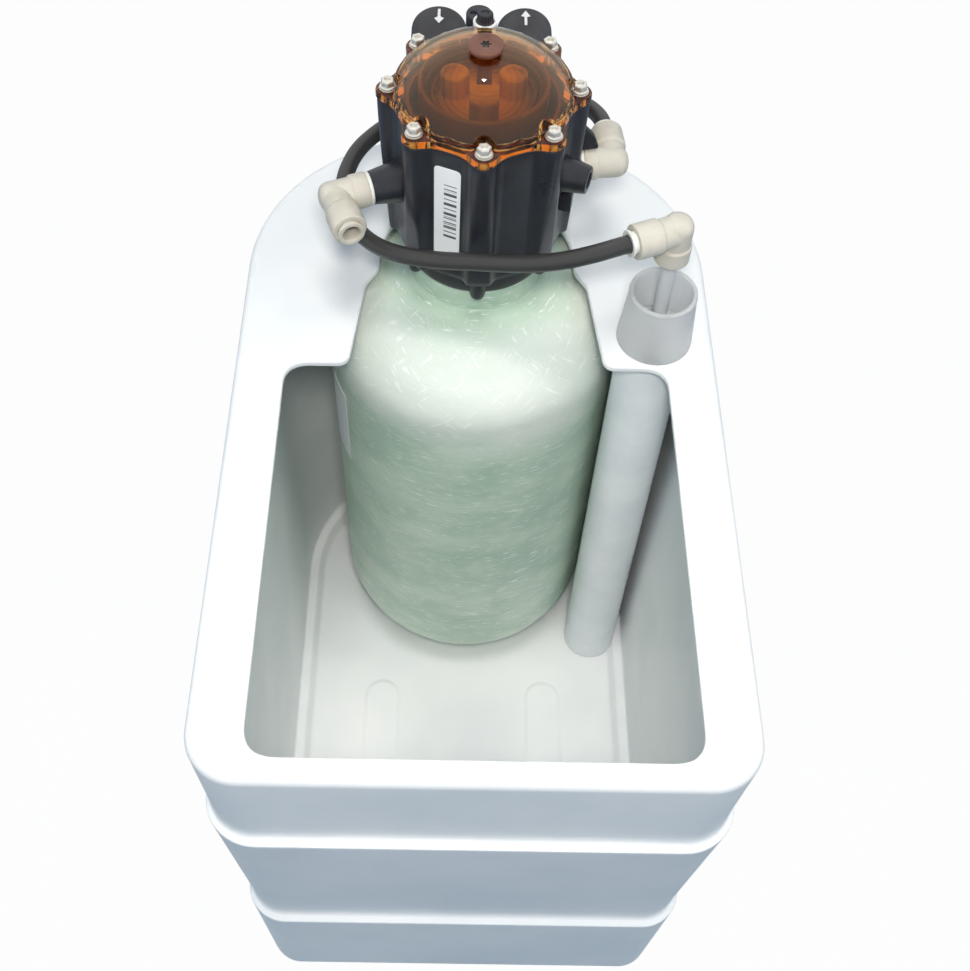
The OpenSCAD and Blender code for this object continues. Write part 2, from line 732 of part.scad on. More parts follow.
module idler_gear() color("tan") at_axis() translate([idler_place[0], idler_place[1], 0]) difference() {
    union() {
        translate([0, 0, plate_top]) cylinder(r = pin_radius + pin_hub, h = control_level - plate_top);
        translate([0, 0, wheel_level]) linear_extrude(gear_width)
            rotate(mesh_turn(turbine_angle, wheel_teeth)) polygon(gear_points(wheel_teeth));
        translate([0, 0, control_level]) linear_extrude(gear_width)
            rotate(mesh_turn(idler_angle + 180 + half_tooth, pinion_teeth))
                polygon(gear_points(pinion_teeth));
    }
    translate([0, 0, plate_z]) cylinder(r = pin_radius + run_gap, h = body_height);
}
// Turn that brings a tooth to face this angle
function mesh_turn(angle, teeth) = angle - floor(angle * teeth / 360) * 360 / teeth;
module idler_pin() color("silver") at_axis() translate([idler_place[0], idler_place[1], plate_z])
    cylinder(r = pin_radius, h = control_level + gear_width + pin_proud - plate_z);
module turbine() color("white") at_axis() translate([turbine_place[0], turbine_place[1], 0]) difference() {
    union() {
        translate([0, 0, plate_top]) cylinder(r = pin_radius + pin_hub, h = wheel_level - plate_top);
        translate([0, 0, vane_level]) for (a = [0:45:315]) rotate([0, 0, a]) translate([0, -0.6, 0])
            cube([vane_radius, 1.2, vane_height]);
        translate([0, 0, wheel_level]) linear_extrude(gear_width)
            rotate(mesh_turn(turbine_angle - 180 + half_tooth, pinion_teeth))
                polygon(gear_points(pinion_teeth));
    }
    translate([0, 0, plate_z]) cylinder(r = pin_radius + run_gap, h = body_height);
}
module turbine_pin() color("silver") at_axis() translate([turbine_place[0], turbine_place[1], plate_z])
    cylinder(r = pin_radius, h = wheel_level + gear_width + pin_proud - plate_z);
module piston() color("white") at_axis() translate([piston_place[0], piston_place[1], piston_base])
difference() {
    cylinder(r = piston_radius, h = piston_length);
    translate([0, 0, -cut]) cylinder(r = rod_radius + run_gap, h = piston_length + 2 * cut);
    for (z = [3, piston_length - 5]) translate([0, 0, z]) ring(piston_radius + cut, piston_radius - 1, 2);
}
module piston_rod() color("silver") at_axis() translate([piston_place[0], piston_place[1], 0]) {
    translate([0, 0, piston_base - rod_head]) cylinder(r = rod_radius + 2, h = rod_head);
    translate([0, 0, piston_base - rod_head]) cylinder(r = rod_radius, h = plate_z - piston_base + rod_head);
    translate([0, 0, piston_base + piston_length + piston_travel]) cylinder(r = rod_radius + 2, h = rod_head);
}

// Rear ports
module rear_plug() color("black") at_axis() translate([plug_place[0], plug_place[1], plug_z]) difference() {
    union() {
        cylinder(r = plug_radius, h = plug_head);
        translate([0, 0, -plug_depth]) cylinder(r = plug_shank, h = plug_depth);
    }
    for (x = [-1, 1]) translate([x * key_offset, 0, plug_head - key_depth])
        cylinder(r = key_hole, h = key_depth + cut);
}
module sleeve(x) color("dimgray") at_axis() translate([x, 0, sleeve_z]) rotate([-90, 0, 0]) difference() {
    translate([0, 0, sleeve_start]) cylinder(r = sleeve_radius, h = sleeve_length);
    translate([0, 0, sleeve_start - cut])
        cylinder(r = nipple_radius + fit_gap, h = nipple_reach - sleeve_start + cut);
    translate([0, 0, sleeve_start]) cylinder(r = sleeve_bore, h = sleeve_length + cut);
}
module inlet_sleeve() sleeve(-sleeve_spacing);
module outlet_sleeve() sleeve(sleeve_spacing);
module sleeve_seals() color("black") at_axis() for (side = [-1, 1])
    translate([side * sleeve_spacing, seal_reach, sleeve_z]) rotate([-90, 0, 0])
        seal_ring(nipple_radius - seal_wire + fit_gap, seal_wire);

// A push-fit elbow with its stem along -Z, its run along +Z and its leg along +Y
module elbow(stem, run, leg) difference() {
    union() {
        translate([0, 0, -stem]) cylinder(r = stem_radius, h = stem + cut);
        cylinder(r = elbow_radius - elbow_collar, h = run);
        cylinder(r = elbow_radius, h = run - elbow_radius);
        translate([0, 0, run]) sphere(r = elbow_radius - elbow_collar / 2);
        translate([0, 0, run]) rotate([-90, 0, 0]) {
            cylinder(r = elbow_radius - elbow_collar, h = leg);
            translate([0, 0, leg - socket_depth]) cylinder(r = elbow_radius, h = socket_depth);
        }
    }
    translate([0, 0, -stem - cut]) cylinder(r = water_bore, h = stem + run + cut);
    translate([0, 0, run]) rotate([-90, 0, 0]) {
        cylinder(r = water_bore, h = leg);
        translate([0, 0, leg - socket_depth]) cylinder(r = hose_radius + hose_room, h = socket_depth + cut);
        translate([0, 0, leg - collet_travel - collet_depth])
            cylinder(r = collet_radius + run_gap, h = collet_depth + collet_travel + cut);
    }
}
// The release collet of an elbow, in the elbow's own frame
module collet(run, leg) translate([0, 0, run]) rotate([-90, 0, 0]) {
    translate([0, 0, leg - collet_depth])
        ring(collet_radius, hose_radius + hose_room, collet_depth + collet_out + collet_flange);
    translate([0, 0, leg + collet_out]) ring(collet_radius + 1.1, hose_radius + hose_room, collet_flange);
}
module on_stub(angle, z, reach) at_axis() along_stub(angle, z, reach) children();
module lock_rings() color("white") {
    on_stub(drain_angle, drain_z, drain_reach) ring(elbow_radius - 1.5, stem_radius + run_gap, lock_ring);
    on_stub(port_angle, port_z, port_reach) ring(elbow_radius - 1.5, stem_radius + run_gap, lock_ring);
}
module at_drain() on_stub(drain_angle, drain_z, drain_reach + lock_ring) children();
module at_port() on_stub(port_angle, port_z, port_reach + lock_ring) children();
module drain_elbow() color("antiquewhite") at_drain() elbow(elbow_stem, drain_run, drain_leg);
module drain_collet() color("lightgray") at_drain() collet(drain_run, drain_leg);
module port_elbow() color("antiquewhite") at_port() elbow(elbow_stem, port_run, port_leg);
module port_collet() color("white") at_port() collet(port_run, port_leg);
module on_riser() at_well() translate([0, 0, well_elbow_z - well_elbow_drop])
    rotate([0, 0, well_elbow_angle - 90]) children();
module well_elbow() color("antiquewhite") on_riser() difference() {
    elbow(0, well_elbow_drop, well_elbow_run);
    translate([0, 0, -cut]) cylinder(r = riser_radius + fit_gap, h = riser_insert + cut);
}
module well_collet() color("white") on_riser() collet(well_elbow_drop, well_elbow_run);

// Brine hose: hand-chosen points about the tank's axis, heights above the top plate
hose_route = [[66.5, 52.5, 67.5], [58.5, 64.5, 64.5], [48, 72.5, 62], [35.5, 77, 60], [21.5, 79, 58.3],
    [6.5, 79, 57], [-9, 76.5, 56], [-24, 72, 55], [-38, 65.5, 54.5], [-50.5, 56.5, 54], [-61.5, 45.5, 53.5],
    [-70, 32.5, 53.5], [-75, 18, 53.5], [-77, 3, 53], [-75, -13, 52], [-69.5, -27.5, 51.5],
    [-60.5, -39.5, 52], [-49, -48.5, 53.5], [-35.5, -55, 56], [-20, -60, 59], [-4, -64, 62.5],
    [12, -68.5, 66.5], [27, -72.5, 71], [42, -75.5, 76.5], [57, -75.5, 81.5]];
function port_point(leg) = let (u = [cos(port_angle), sin(port_angle)])
    let (corner = port_reach + lock_ring + port_run)
    [corner * u[0] - leg * u[1], corner * u[1] + leg * u[0], port_z - cabinet_height];
function well_point(run) = [well_x + run * cos(well_elbow_angle),
    well_y - tank_y + run * sin(well_elbow_angle), well_elbow_z - cabinet_height];
hose_points = concat([port_point(port_leg - hose_insert), port_point(port_leg + hose_lead)], hose_route,
    [well_point(well_elbow_run + hose_lead), well_point(well_elbow_run - hose_insert)]);
hose_sides = 10;
hose_last = len(hose_points) - 1;
function hose_tangent(i) =
    let (d = hose_points[min(i + 1, hose_last)] - hose_points[max(i - 1, 0)]) d / norm(d);
module brine_hose() color("black") translate([0, tank_y, cabinet_height])
    loft([for (i = [0:hose_last])
        let (t = hose_tangent(i), s = cross(t, [0, 0, 1]), side = s / norm(s), up = cross(side, t))
        [for (k = [0:hose_sides - 1]) let (a = -360 * k / hose_sides)
            hose_points[i] + hose_radius * (cos(a) * side + sin(a) * up)]]);

// Brine well
module well_tube() color("lightsteelblue", 0.8) at_well() translate([0, 0, tube_base])
    ring(well_radius, well_radius - well_wall, cabinet_height + tube_proud - tube_base);
module well_collar() color("aliceblue", 0.6) at_well() translate([0, 0, cabinet_height]) difference() {
    union() {
        cylinder(r1 = well_radius + cup_wall, r2 = cup_rim, h = cup_height);
        translate([0, 0, cup_height - cup_lip]) cylinder(r = cup_rim + 0.4, h = cup_lip);
    }
    translate([0, 0, -cut]) cylinder(r = well_radius + fit_gap, h = tube_proud + fit_gap + cut);
    translate([0, 0, tube_proud])
        cylinder(r1 = well_radius - well_wall, r2 = cup_rim - cup_wall, h = cup_height - tube_proud + fit_gap);
}
module well_foot() color("lightgray") at_well() translate([0, 0, floor_height]) difference() {
    union() {
        cylinder(r = foot_radius, h = foot_base);
        translate([0, 0, foot_base]) cylinder(r = well_radius, h = foot_flange);
        translate([0, 0, foot_base + foot_flange])
            cylinder(r = well_radius - well_wall - fit_gap, h = check_base - tube_base);
    }
    for (a = [0:60:300]) rotate([0, 0, a]) translate([foot_radius / 2, -slot_width / 2, -cut])
        cube([foot_radius, slot_width, foot_base]);
}
module brine_riser() color("white") at_well() translate([0, 0, riser_base])
    ring(riser_radius, riser_radius - riser_wall, well_elbow_z - well_elbow_drop + riser_insert - riser_base);
module air_check() color("ivory") at_well() translate([0, 0, check_base]) difference() {
    cylinder(r = check_radius, h = check_height);
    translate([0, 0, -cut]) cylinder(r = seat_radius, h = check_height);
    translate([0, 0, check_seat]) cylinder(r = check_bore, h = cage_height);
    translate([0, 0, check_height - riser_socket])
        cylinder(r = riser_radius + fit_gap, h = riser_socket + cut);
    for (a = [0:90:270]) rotate([0, 0, a])
        translate([check_bore - cage_roof, -slot_width / 2, check_seat + slot_width])
            cube([check_radius, slot_width, cage_height - 2 * slot_width]);
}
module check_ball() color("crimson") at_well() translate([0, 0, ball_z]) sphere(r = ball_radius);
module float() color("ghostwhite") at_well() translate([0, 0, float_base]) difference() {
    union() {
        cylinder(r1 = float_radius - 2, r2 = float_radius, h = 2);
        translate([0, 0, 2]) cylinder(r = float_radius, h = float_length - 4);
        translate([0, 0, float_length - 2]) cylinder(r1 = float_radius, r2 = float_radius - 2, h = 2);
    }
    translate([0, 0, -cut]) cylinder(r = riser_radius + run_gap, h = float_length + 2 * cut);
}
module float_stops() color("gray") at_well() for (z = [lower_stop, float_base + float_length + float_travel])
    translate([0, 0, z]) ring(stop_radius, riser_radius + fit_gap, stop_height);

cabinet();
resin_tank();
resin_bed();
distributor_pipe();
lower_basket();
upper_basket();
neck_seal();
neck_ring();
valve_body();
dome_cover();
cover_gasket();
cover_screws();
cover_washers();
vent_screw();
vent_washer();
mechanism_plate();
control_shaft();
control_gear();
control_disc();
start_knob();
idler_gear();
idler_pin();
turbine();
turbine_pin();
piston();
piston_rod();
rear_plug();
inlet_sleeve();
outlet_sleeve();
sleeve_seals();
lock_rings();
drain_elbow();
drain_collet();
port_elbow();
port_collet();
well_elbow();
well_collet();
brine_hose();
well_tube();
well_collar();
well_foot();
brine_riser();
air_check();
check_ball();
float();
float_stops();
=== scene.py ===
"""Looks of a water softener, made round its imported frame.

Shapes are worked out in millimetres, in the frame's own axes: the middle of the foot is the
origin, +X goes to the right, +Y to the back and +Z up. They become metres as a mesh is made.
"""

import logging
from dataclasses import dataclass
from enum import Enum
from typing import Any, Dict, List, Optional, Sequence, Tuple, Union

import bpy
import numpy as np
from mathutils import Matrix, Vector
from mathutils.geometry import delaunay_2d_cdt


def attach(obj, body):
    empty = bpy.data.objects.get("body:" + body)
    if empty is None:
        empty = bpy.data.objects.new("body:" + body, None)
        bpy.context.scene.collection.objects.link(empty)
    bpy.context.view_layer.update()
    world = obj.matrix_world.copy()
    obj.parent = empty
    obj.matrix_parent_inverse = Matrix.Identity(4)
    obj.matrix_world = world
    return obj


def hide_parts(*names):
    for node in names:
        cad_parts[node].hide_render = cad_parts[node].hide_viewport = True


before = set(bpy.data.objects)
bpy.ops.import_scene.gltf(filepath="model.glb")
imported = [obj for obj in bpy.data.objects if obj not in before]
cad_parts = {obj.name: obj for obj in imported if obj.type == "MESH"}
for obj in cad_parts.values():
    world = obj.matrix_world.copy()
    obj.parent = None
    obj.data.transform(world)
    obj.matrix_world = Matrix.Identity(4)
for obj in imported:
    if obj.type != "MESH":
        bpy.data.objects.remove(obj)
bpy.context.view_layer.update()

LOG = logging.getLogger("softener")
MM = 0.001
AXIS_Y = 110.5
PLATE_Z = 380.0
WELD = 1e-4

Array = np.ndarray
Triple = Tuple[float, float, float]
Number = Union[float, "Value"]


def srgb(red: float, green: float, blue: float) -> Tuple[float, float, float, float]:
    """Linear colour of an sRGB colour given from 0 to 255.

    Args:
        red, green, blue: the colour as a screen shows it.
    Returns:
        The colour as a shader reads it, with full alpha.
    """
    c = np.array([red, green, blue]) / 255.0
    linear = np.where(c <= 0.04045, c / 12.92, ((c + 0.055) / 1.055) ** 2.4)
    return (float(linear[0]), float(linear[1]), float(linear[2]), 1.0)


class Value:
    """A shader number that takes part in Python sums; each sum adds a Math node."""

    def __init__(self, paint: "Paint", socket: bpy.types.NodeSocket) -> None:
        """Wrap one output socket of a paint's tree."""
        self.paint = paint
        self.socket = socket

    def math(self, operation: str, *others: Number) -> "Value":
        """Result of a Math node.

        Args:
            operation: the Math node's operation.
            others: further operands, numbers or values.
        Returns:
            The node's result.
        """
        inputs = dict(enumerate((self, *others)))
        return self.paint.node("ShaderNodeMath", {"operation": operation}, inputs)

    def __add__(self, other: Number) -> "Value":
        """Sum."""
        return self.math("ADD", other)

    __radd__ = __add__

    def __sub__(self, other: Number) -> "Value":
        """Difference."""
        return self.math("SUBTRACT", other)

    def __rsub__(self, other: float) -> "Value":
        """Difference from a number."""
        return (self * -1.0) + other

    def __mul__(self, other: Number) -> "Value":
        """Product."""
        return self.math("MULTIPLY", other)

    __rmul__ = __mul__

    def __pow__(self, other: float) -> "Value":
        """Power."""
        return self.math("POWER", other)

    def above(self, edge: float) -> "Value":
        """One where the value passes the edge, and nought elsewhere."""
        return self.math("GREATER_THAN", edge)

    def ramp(self, low: float, high: float) -> "Value":
        """Smooth step from nought at low to one at high."""
        return self.paint.node("ShaderNodeMapRange", {"interpolation_type": "SMOOTHSTEP"},
                               {"Value": self, "From Min": low, "From Max": high})


class Paint:
    """The node tree of one material, built round a Principled shader."""

    def __init__(self, name: str, **constants: Any) -> None:
        """Start a material.

        Args:
            name: the material's name.
            constants: shader sockets that are the same all over, with spaces written as underscores.
        """
        self.material = bpy.data.materials.new(name)
        self.material.use_nodes = True
        self.tree = self.material.node_tree
        self.shader = next(n for n in self.tree.nodes if n.type == "BSDF_PRINCIPLED")
        for key, value in constants.items():
            self.shader.inputs[key.replace("_", " ")].default_value = value

    def node(self, kind: str, settings: Optional[Dict[str, Any]] = None,
             inputs: Optional[Dict[Union[str, int], Any]] = None, output: Union[str, int] = 0) -> Value:
        """Add any node.

        Args:
            kind: the node's type.
            settings: properties of the node, set first; stops are a ramp's (place, colour) pairs.
            inputs: numbers, colours or values of its sockets, by name or number.
            output: the socket that is returned.
        Returns:
            That output socket.
        """
        node = self.tree.nodes.new(kind)
        for key, value in (settings or {}).items():
            if key == "stops":
                elements = node.color_ramp.elements
                while len(elements) < len(value):
                    elements.new(0.5)
                for element, (place, colour) in zip(elements, value):
                    element.position, element.color = place, colour
            else:
                setattr(node, key, value)
        for key, value in (inputs or {}).items():
            if isinstance(value, Value):
                self.tree.links.new(value.socket, node.inputs[key])
            else:
                node.inputs[key].default_value = value
        return Value(self, node.outputs[output])

    def where(self, scale: Triple = (1.0, 1.0, 1.0), turn: Triple = (0.0, 0.0, 0.0)) -> Value:
        """Object coordinates, turned and then stretched.

        Args:
            scale: stretch along each axis.
            turn: turn about each axis, in radians.
        Returns:
            The coordinates.
        """
        coords = self.node("ShaderNodeTexCoord", output="Object")
        turned_coords = self.node("ShaderNodeMapping", None, {"Vector": coords, "Rotation": turn})
        return self.node("ShaderNodeMapping", None, {"Vector": turned_coords, "Scale": scale})

    def axes(self) -> List[Value]:
        """The three object coordinates, each by itself."""
        coords = self.node("ShaderNodeTexCoord", output="Object")
        return [self.node("ShaderNodeSeparateXYZ", None, {0: coords}, k) for k in range(3)]

    def noise(self, where: Value, scale: float, detail: float = 2.0, rough: float = 0.5,
              twist: float = 0.0) -> Value:
        """Soft noise from nought to one.

        Args:
            where: coordinates.
            scale: features per metre.
            detail: layers of finer noise.
            rough: strength of the finer layers.
            twist: how far the pattern bends itself.
        Returns:
            The noise.
        """
        return self.node("ShaderNodeTexNoise", None, {"Vector": where, "Scale": scale, "Detail": detail,
                                                      "Roughness": rough, "Distortion": twist})

    def mix(self, first: Any, second: Any, share: Number) -> Value:
        """Mix of two colours.

        Args:
            first, second: colours or colour sockets.
            share: share of the second.
        Returns:
            The mixed colour.
        """
        return self.node("ShaderNodeMix", {"data_type": "RGBA"}, {0: share, 6: first, 7: second}, 2)

    def feed(self, name: str, value: Value) -> None:
        """Link a value to one of the shader's sockets."""
        self.tree.links.new(value.socket, self.shader.inputs[name])

    def bump(self, height: Value, depth: float, strength: float = 1.0) -> None:
        """Feed the shader's normal with a height from nought to one that stands for depth metres."""
        self.feed("Normal", self.node("ShaderNodeBump", None,
                                      {"Height": height, "Distance": depth, "Strength": strength}))


@dataclass(frozen=True)
class Moulded:
    """Moulded plastic: colour in broad soft clouds, a fine pebbled skin and faint scuffs."""

    name: str
    colour: Tuple[float, ...]
    shade: Tuple[float, ...]
    roughness: float = 0.42
    spread: float = 0.12
    clouds: float = 22.0
    pebbles: float = 850.0
    depth: float = 0.00006
    scuff: float = 0.25
    coat: float = 0.0
    clear: float = 0.0
    ior: float = 1.49
    soft: float = 0.0
    through: float = 0.004

    def material(self) -> bpy.types.Material:
        """Make the finish."""
        paint = Paint(self.name, Coat_Weight=self.coat, Coat_Roughness=0.12, IOR=self.ior,
                      Transmission_Weight=self.clear, Subsurface_Weight=self.soft, Subsurface_Scale=self.through,
                      Subsurface_Radius=(1.0, 1.0, 1.0))
        where = paint.where()
        cloud = paint.noise(where, self.clouds, 3.0, 0.55)
        fine = paint.noise(where, self.pebbles, 2.0)
        scratch = paint.noise(paint.where((1.0, 1.0, 0.16), (0.4, 0.7, 0.0)), 420.0, 2.0, 0.6, 0.4)
        worn = scratch.ramp(0.62, 0.76) * self.scuff
        paint.feed("Base Color", paint.mix(self.colour, self.shade, cloud.ramp(0.3, 0.72)))
        paint.feed("Roughness", cloud * self.spread + (self.roughness - self.spread / 2) + worn * 0.3)
        paint.bump(fine + worn * 0.6, self.depth)
        return paint.material


@dataclass(frozen=True)
class Wound:
    """Wound glass fibre under clear resin: short hoop lines and crossing strands whitened with painted glints, and a
    shoulder whitened with a painted glare.
    """

    name: str = "wound_glass"
    deep: Tuple[float, ...] = srgb(170, 199, 177)
    pale: Tuple[float, ...] = srgb(200, 220, 199)
    # painted glare: near-white that whitens the shoulder where broad light reflects
    shoulder_glare: Tuple[float, ...] = srgb(232, 238, 231)
    # painted glint: near-white on the hoop lines and the crossing strands
    dash_glint: Tuple[float, ...] = srgb(250, 252, 250)
    dark: Tuple[float, ...] = srgb(138, 166, 146)
    # heights in metres where the painted glare on the shoulder fades in and out
    shoulder: Tuple[float, float] = (0.298, 0.33)
    neck: Tuple[float, float] = (0.362, 0.378)
    depth: float = 0.00016

    def material(self) -> bpy.types.Material:
        """Make the finish."""
        paint = Paint(self.name, Coat_Weight=0.5, Coat_Roughness=0.3, IOR=1.5)
        height = paint.axes()[2]
        cloud = paint.noise(paint.where((1.0, 1.0, 2.0)), 14.0, 3.0, 0.6)
        hoops = paint.noise(paint.where((50.0, 50.0, 560.0)), 2.0, 2.0, 0.5, 0.3)
        grooves = paint.noise(paint.where((12.0, 12.0, 620.0)), 2.0, 2.0, 0.5, 0.2)
        left = paint.noise(paint.where((30.0, 60.0, 330.0), (0.0, 0.62, 0.0)), 2.0, 2.0, 0.5, 0.2)
        right = paint.noise(paint.where((30.0, 60.0, 330.0), (0.0, -0.62, 0.0)), 2.0, 2.0, 0.5, 0.2)
        edge = height + (cloud - 0.5) * 0.02
        # the shoulder band that gets the painted glare
        high = edge.ramp(*self.shoulder) * (1 - edge.ramp(*self.neck))
        strands = left.ramp(0.62, 0.72) + right.ramp(0.62, 0.72)
        base = paint.mix(self.deep, self.pale, cloud.ramp(0.32, 0.66))
        lined = paint.mix(base, self.dark, grooves.ramp(0.58, 0.74) * 0.3)
        # painted glare: the shoulder band is whitened as a broad highlight
        with_glare = paint.mix(lined, self.shoulder_glare, high * (cloud * 0.5 + 0.55))
        # painted glints: the hoop lines below the shoulder and the crossing strands turn near-white; the bump gives
        # their relief
        dash_glints = hoops.ramp(0.6, 0.7) * (1 - high) * 0.8 + strands * (high * 0.45 + 0.1)
        paint.feed("Base Color", paint.mix(with_glare, self.dash_glint, dash_glints))
        paint.feed("Roughness", cloud * 0.14 + hoops * 0.1 + 0.26)
        paint.bump(hoops * 0.7 + strands * 0.4 + grooves * 0.3, self.depth)
        return paint.material


@dataclass(frozen=True)
class Clear:
    """Clear tinted plastic with faint flow lines, deeper in tone under a height."""

    name: str
    colour: Tuple[float, ...]
    shade: Tuple[float, ...]
    deep: Tuple[float, ...]
    roughness: float = 0.04
    ior: float = 1.5
    depth: float = 0.00008
    height: Tuple[float, float] = (0.5035, 0.509)

    def material(self) -> bpy.types.Material:
        """Make the finish."""
        paint = Paint(self.name, Transmission_Weight=1.0, IOR=self.ior)
        flow = paint.noise(paint.where((1.0, 1.0, 2.6)), 38.0, 2.0, 0.5, 0.6)
        dust = paint.noise(paint.where(), 640.0, 2.0)
        upper = paint.mix(self.colour, self.shade, flow.ramp(0.35, 0.7))
        paint.feed("Base Color", paint.mix(self.deep, upper, paint.axes()[2].ramp(*self.height)))
        paint.feed("Roughness", dust.ramp(0.45, 0.8) * 0.05 + self.roughness)
        paint.bump(flow, self.depth)
        return paint.material


@dataclass(frozen=True)
class Ringed:
    """Moulded disc whose tone goes from its middle to its edge in rings about an upright axis: partly its own tone,
    partly painted light in the bright middle and painted shade towards the dark edge.
    """

    name: str
    middle: Tuple[float, ...]
    edge: Tuple[float, ...]
    line: Tuple[float, ...]
    reach: Tuple[float, float] = (0.014, 0.027)

    def material(self) -> bpy.types.Material:
        """Make the finish; the distance from the axis is the root of its squared offsets."""
        paint = Paint(self.name, IOR=1.5)
        across, back, _ = paint.axes()
        back = back - AXIS_Y * MM
        far = (across * across + back * back) ** 0.5
        # painted light and shade, partly the disc's own tone: bright in the middle, darker towards the edge
        tone = far.ramp(*self.reach)
        rings = (far * 1900.0).math("SINE").ramp(0.1, 0.9)
        spots = paint.noise(paint.where(), 160.0, 3.0, 0.6)
        base = paint.mix(self.middle, self.edge, tone)
        paint.feed("Base Color", paint.mix(base, self.line, rings * tone * 0.6 + spots.ramp(0.5, 0.8) * 0.2))
        paint.feed("Roughness", spots * 0.2 + 0.25)
        paint.bump(spots, 0.00005)
        return paint.material


@dataclass(frozen=True)
class Plated:
    """Plated steel: a grained sheen with duller, warmer spots."""

    name: str
    colour: Tuple[float, ...]
    shade: Tuple[float, ...]
    roughness: float = 0.3

    def material(self) -> bpy.types.Material:
        """Make the finish."""
        paint = Paint(self.name, Metallic=1.0)
        spots = paint.noise(paint.where(), 520.0, 3.0, 0.6)
        paint.feed("Base Color", paint.mix(self.colour, self.shade, spots.ramp(0.42, 0.7)))
        paint.feed("Roughness", spots * 0.3 + (self.roughness - 0.1))
        paint.bump(spots, 0.00004)
        return paint.material


@dataclass(frozen=True)
class Sticker:
    """White paper sticker, left bare or with uneven plain bars across a part of it."""

    name: str
    heights: Tuple[float, float] = (0.0, 0.0)
    sides: Tuple[float, float] = (0.0, 0.0)

    def material(self) -> bpy.types.Material:
        """Make the finish; the bars' heights and sides are in metres on the piece's own coordinates."""
        paint = Paint(self.name, Coat_Weight=0.25, Coat_Roughness=0.3)
        fibre = paint.noise(paint.where(), 900.0, 3.0, 0.6)
        paper = paint.mix(srgb(246, 247, 247), srgb(228, 231, 233), fibre)
        if self.heights[1] > self.heights[0]:
            across, _, up = paint.axes()
            beat = (up * 1900.0).math("SINE") + (up * 4630.0).math("SINE") * 0.8 + (up * 830.0).math("SINE") * 0.5
            inside = up.above(self.heights[0]) * (1 - up.above(self.heights[1]))
            beside = across.above(self.sides[0]) * (1 - across.above(self.sides[1]))
            paper = paint.mix(paper, srgb(74, 76, 80), beat.above(0.45) * inside * beside)
        paint.feed("Base Color", paper)
        paint.feed("Roughness", fibre * 0.15 + 0.4)
        paint.bump(fibre, 0.00002)
        return paint.material


class Finish(Enum):
    """The finishes of this object's pieces."""

    CABINET = Moulded("cabinet_white", srgb(243, 245, 246), srgb(232, 236, 239), 0.5, 0.1, 9.0, 620.0,
                      0.00008, 0.12)
    TANK = Wound()
    BODY = Moulded("body_black", srgb(35, 37, 45), srgb(26, 27, 33), 0.3, 0.14, 45.0, 900.0, 0.00007, 0.5)
    SLEEVE = Moulded("sleeve_black", srgb(52, 52, 56), srgb(36, 36, 40), 0.55, 0.12, 60.0, 800.0, 0.0001, 0.4)
    HOSE = Moulded("hose_black", srgb(42, 42, 46), srgb(32, 32, 35), 0.26, 0.12, 40.0, 500.0, 0.00005, 0.35)
    SEAL = Moulded("seal_rubber", srgb(40, 40, 41), srgb(28, 28, 29), 0.6)
    FITTING = Moulded("fitting_grey", srgb(208, 203, 191), srgb(192, 187, 174), 0.38, 0.14, 60.0, 700.0,
                      0.00007, 0.25)
    COLLET = Moulded("collet_white", srgb(240, 240, 236), srgb(226, 226, 221), 0.35, soft=0.1)
    INNER = Moulded("inner_white", srgb(236, 234, 226), srgb(222, 219, 208), 0.45)
    AMBER = Clear("amber_clear", (0.9, 0.55, 0.22, 1.0), (0.86, 0.46, 0.16, 1.0), (0.84, 0.34, 0.05, 1.0), 0.03, 1.45)
    # the disc's bright middle and dark edge are partly painted light and shade
    DISC = Ringed("disc_rings", srgb(240, 190, 40), srgb(120, 88, 46), srgb(66, 44, 28), (0.008, 0.03))
    WORKS = Moulded("works_tan", srgb(214, 170, 104), srgb(176, 128, 74), 0.3, 0.12, 60.0)
    WORKS_DARK = Moulded("works_brown", srgb(140, 92, 60), srgb(112, 68, 44), 0.4, 0.12, 60.0)
    SEAT = Moulded("seat_brown", srgb(150, 98, 84), srgb(122, 76, 64), 0.4, 0.12, 60.0)
    KNOB = Moulded("knob_brown", srgb(116, 76, 62), srgb(94, 58, 46), 0.4, 0.12, 80.0)
    ZINC = Plated("zinc_screw", srgb(226, 222, 210), srgb(190, 180, 156))
    STEEL = Plated("steel_pin", srgb(205, 207, 210), srgb(180, 182, 186), 0.25)
    TUBE = Moulded("well_pale", srgb(238, 243, 246), srgb(228, 235, 239), 0.46, 0.1, 30.0, soft=0.1)
    CUP = Moulded("cup_milky", srgb(250, 251, 252), srgb(243, 246, 247), 0.3, 0.1, 30.0, clear=0.4, ior=1.3, soft=0.6,
                  through=0.02)
    RISER = Moulded("riser_milky", srgb(238, 240, 241), srgb(222, 226, 229), 0.36, clear=0.25)
    RESIN = Moulded("resin_amber", srgb(190, 128, 44), srgb(150, 92, 28), 0.5, 0.1, 900.0)
    BALL = Moulded("ball_red", srgb(186, 38, 34), srgb(150, 24, 24), 0.3)
    PAPER = Sticker("sticker_bare")
    BARS = Sticker("sticker_bars", (0.44, 0.477), (-0.0199, -0.0131))
    INK = Moulded("arrow_white", srgb(238, 238, 236), srgb(222, 222, 220), 0.5)

    def get(self) -> bpy.types.Material:
        """The material, made when it is first asked for."""
        return bpy.data.materials.get(self.value.name) or self.value.material()


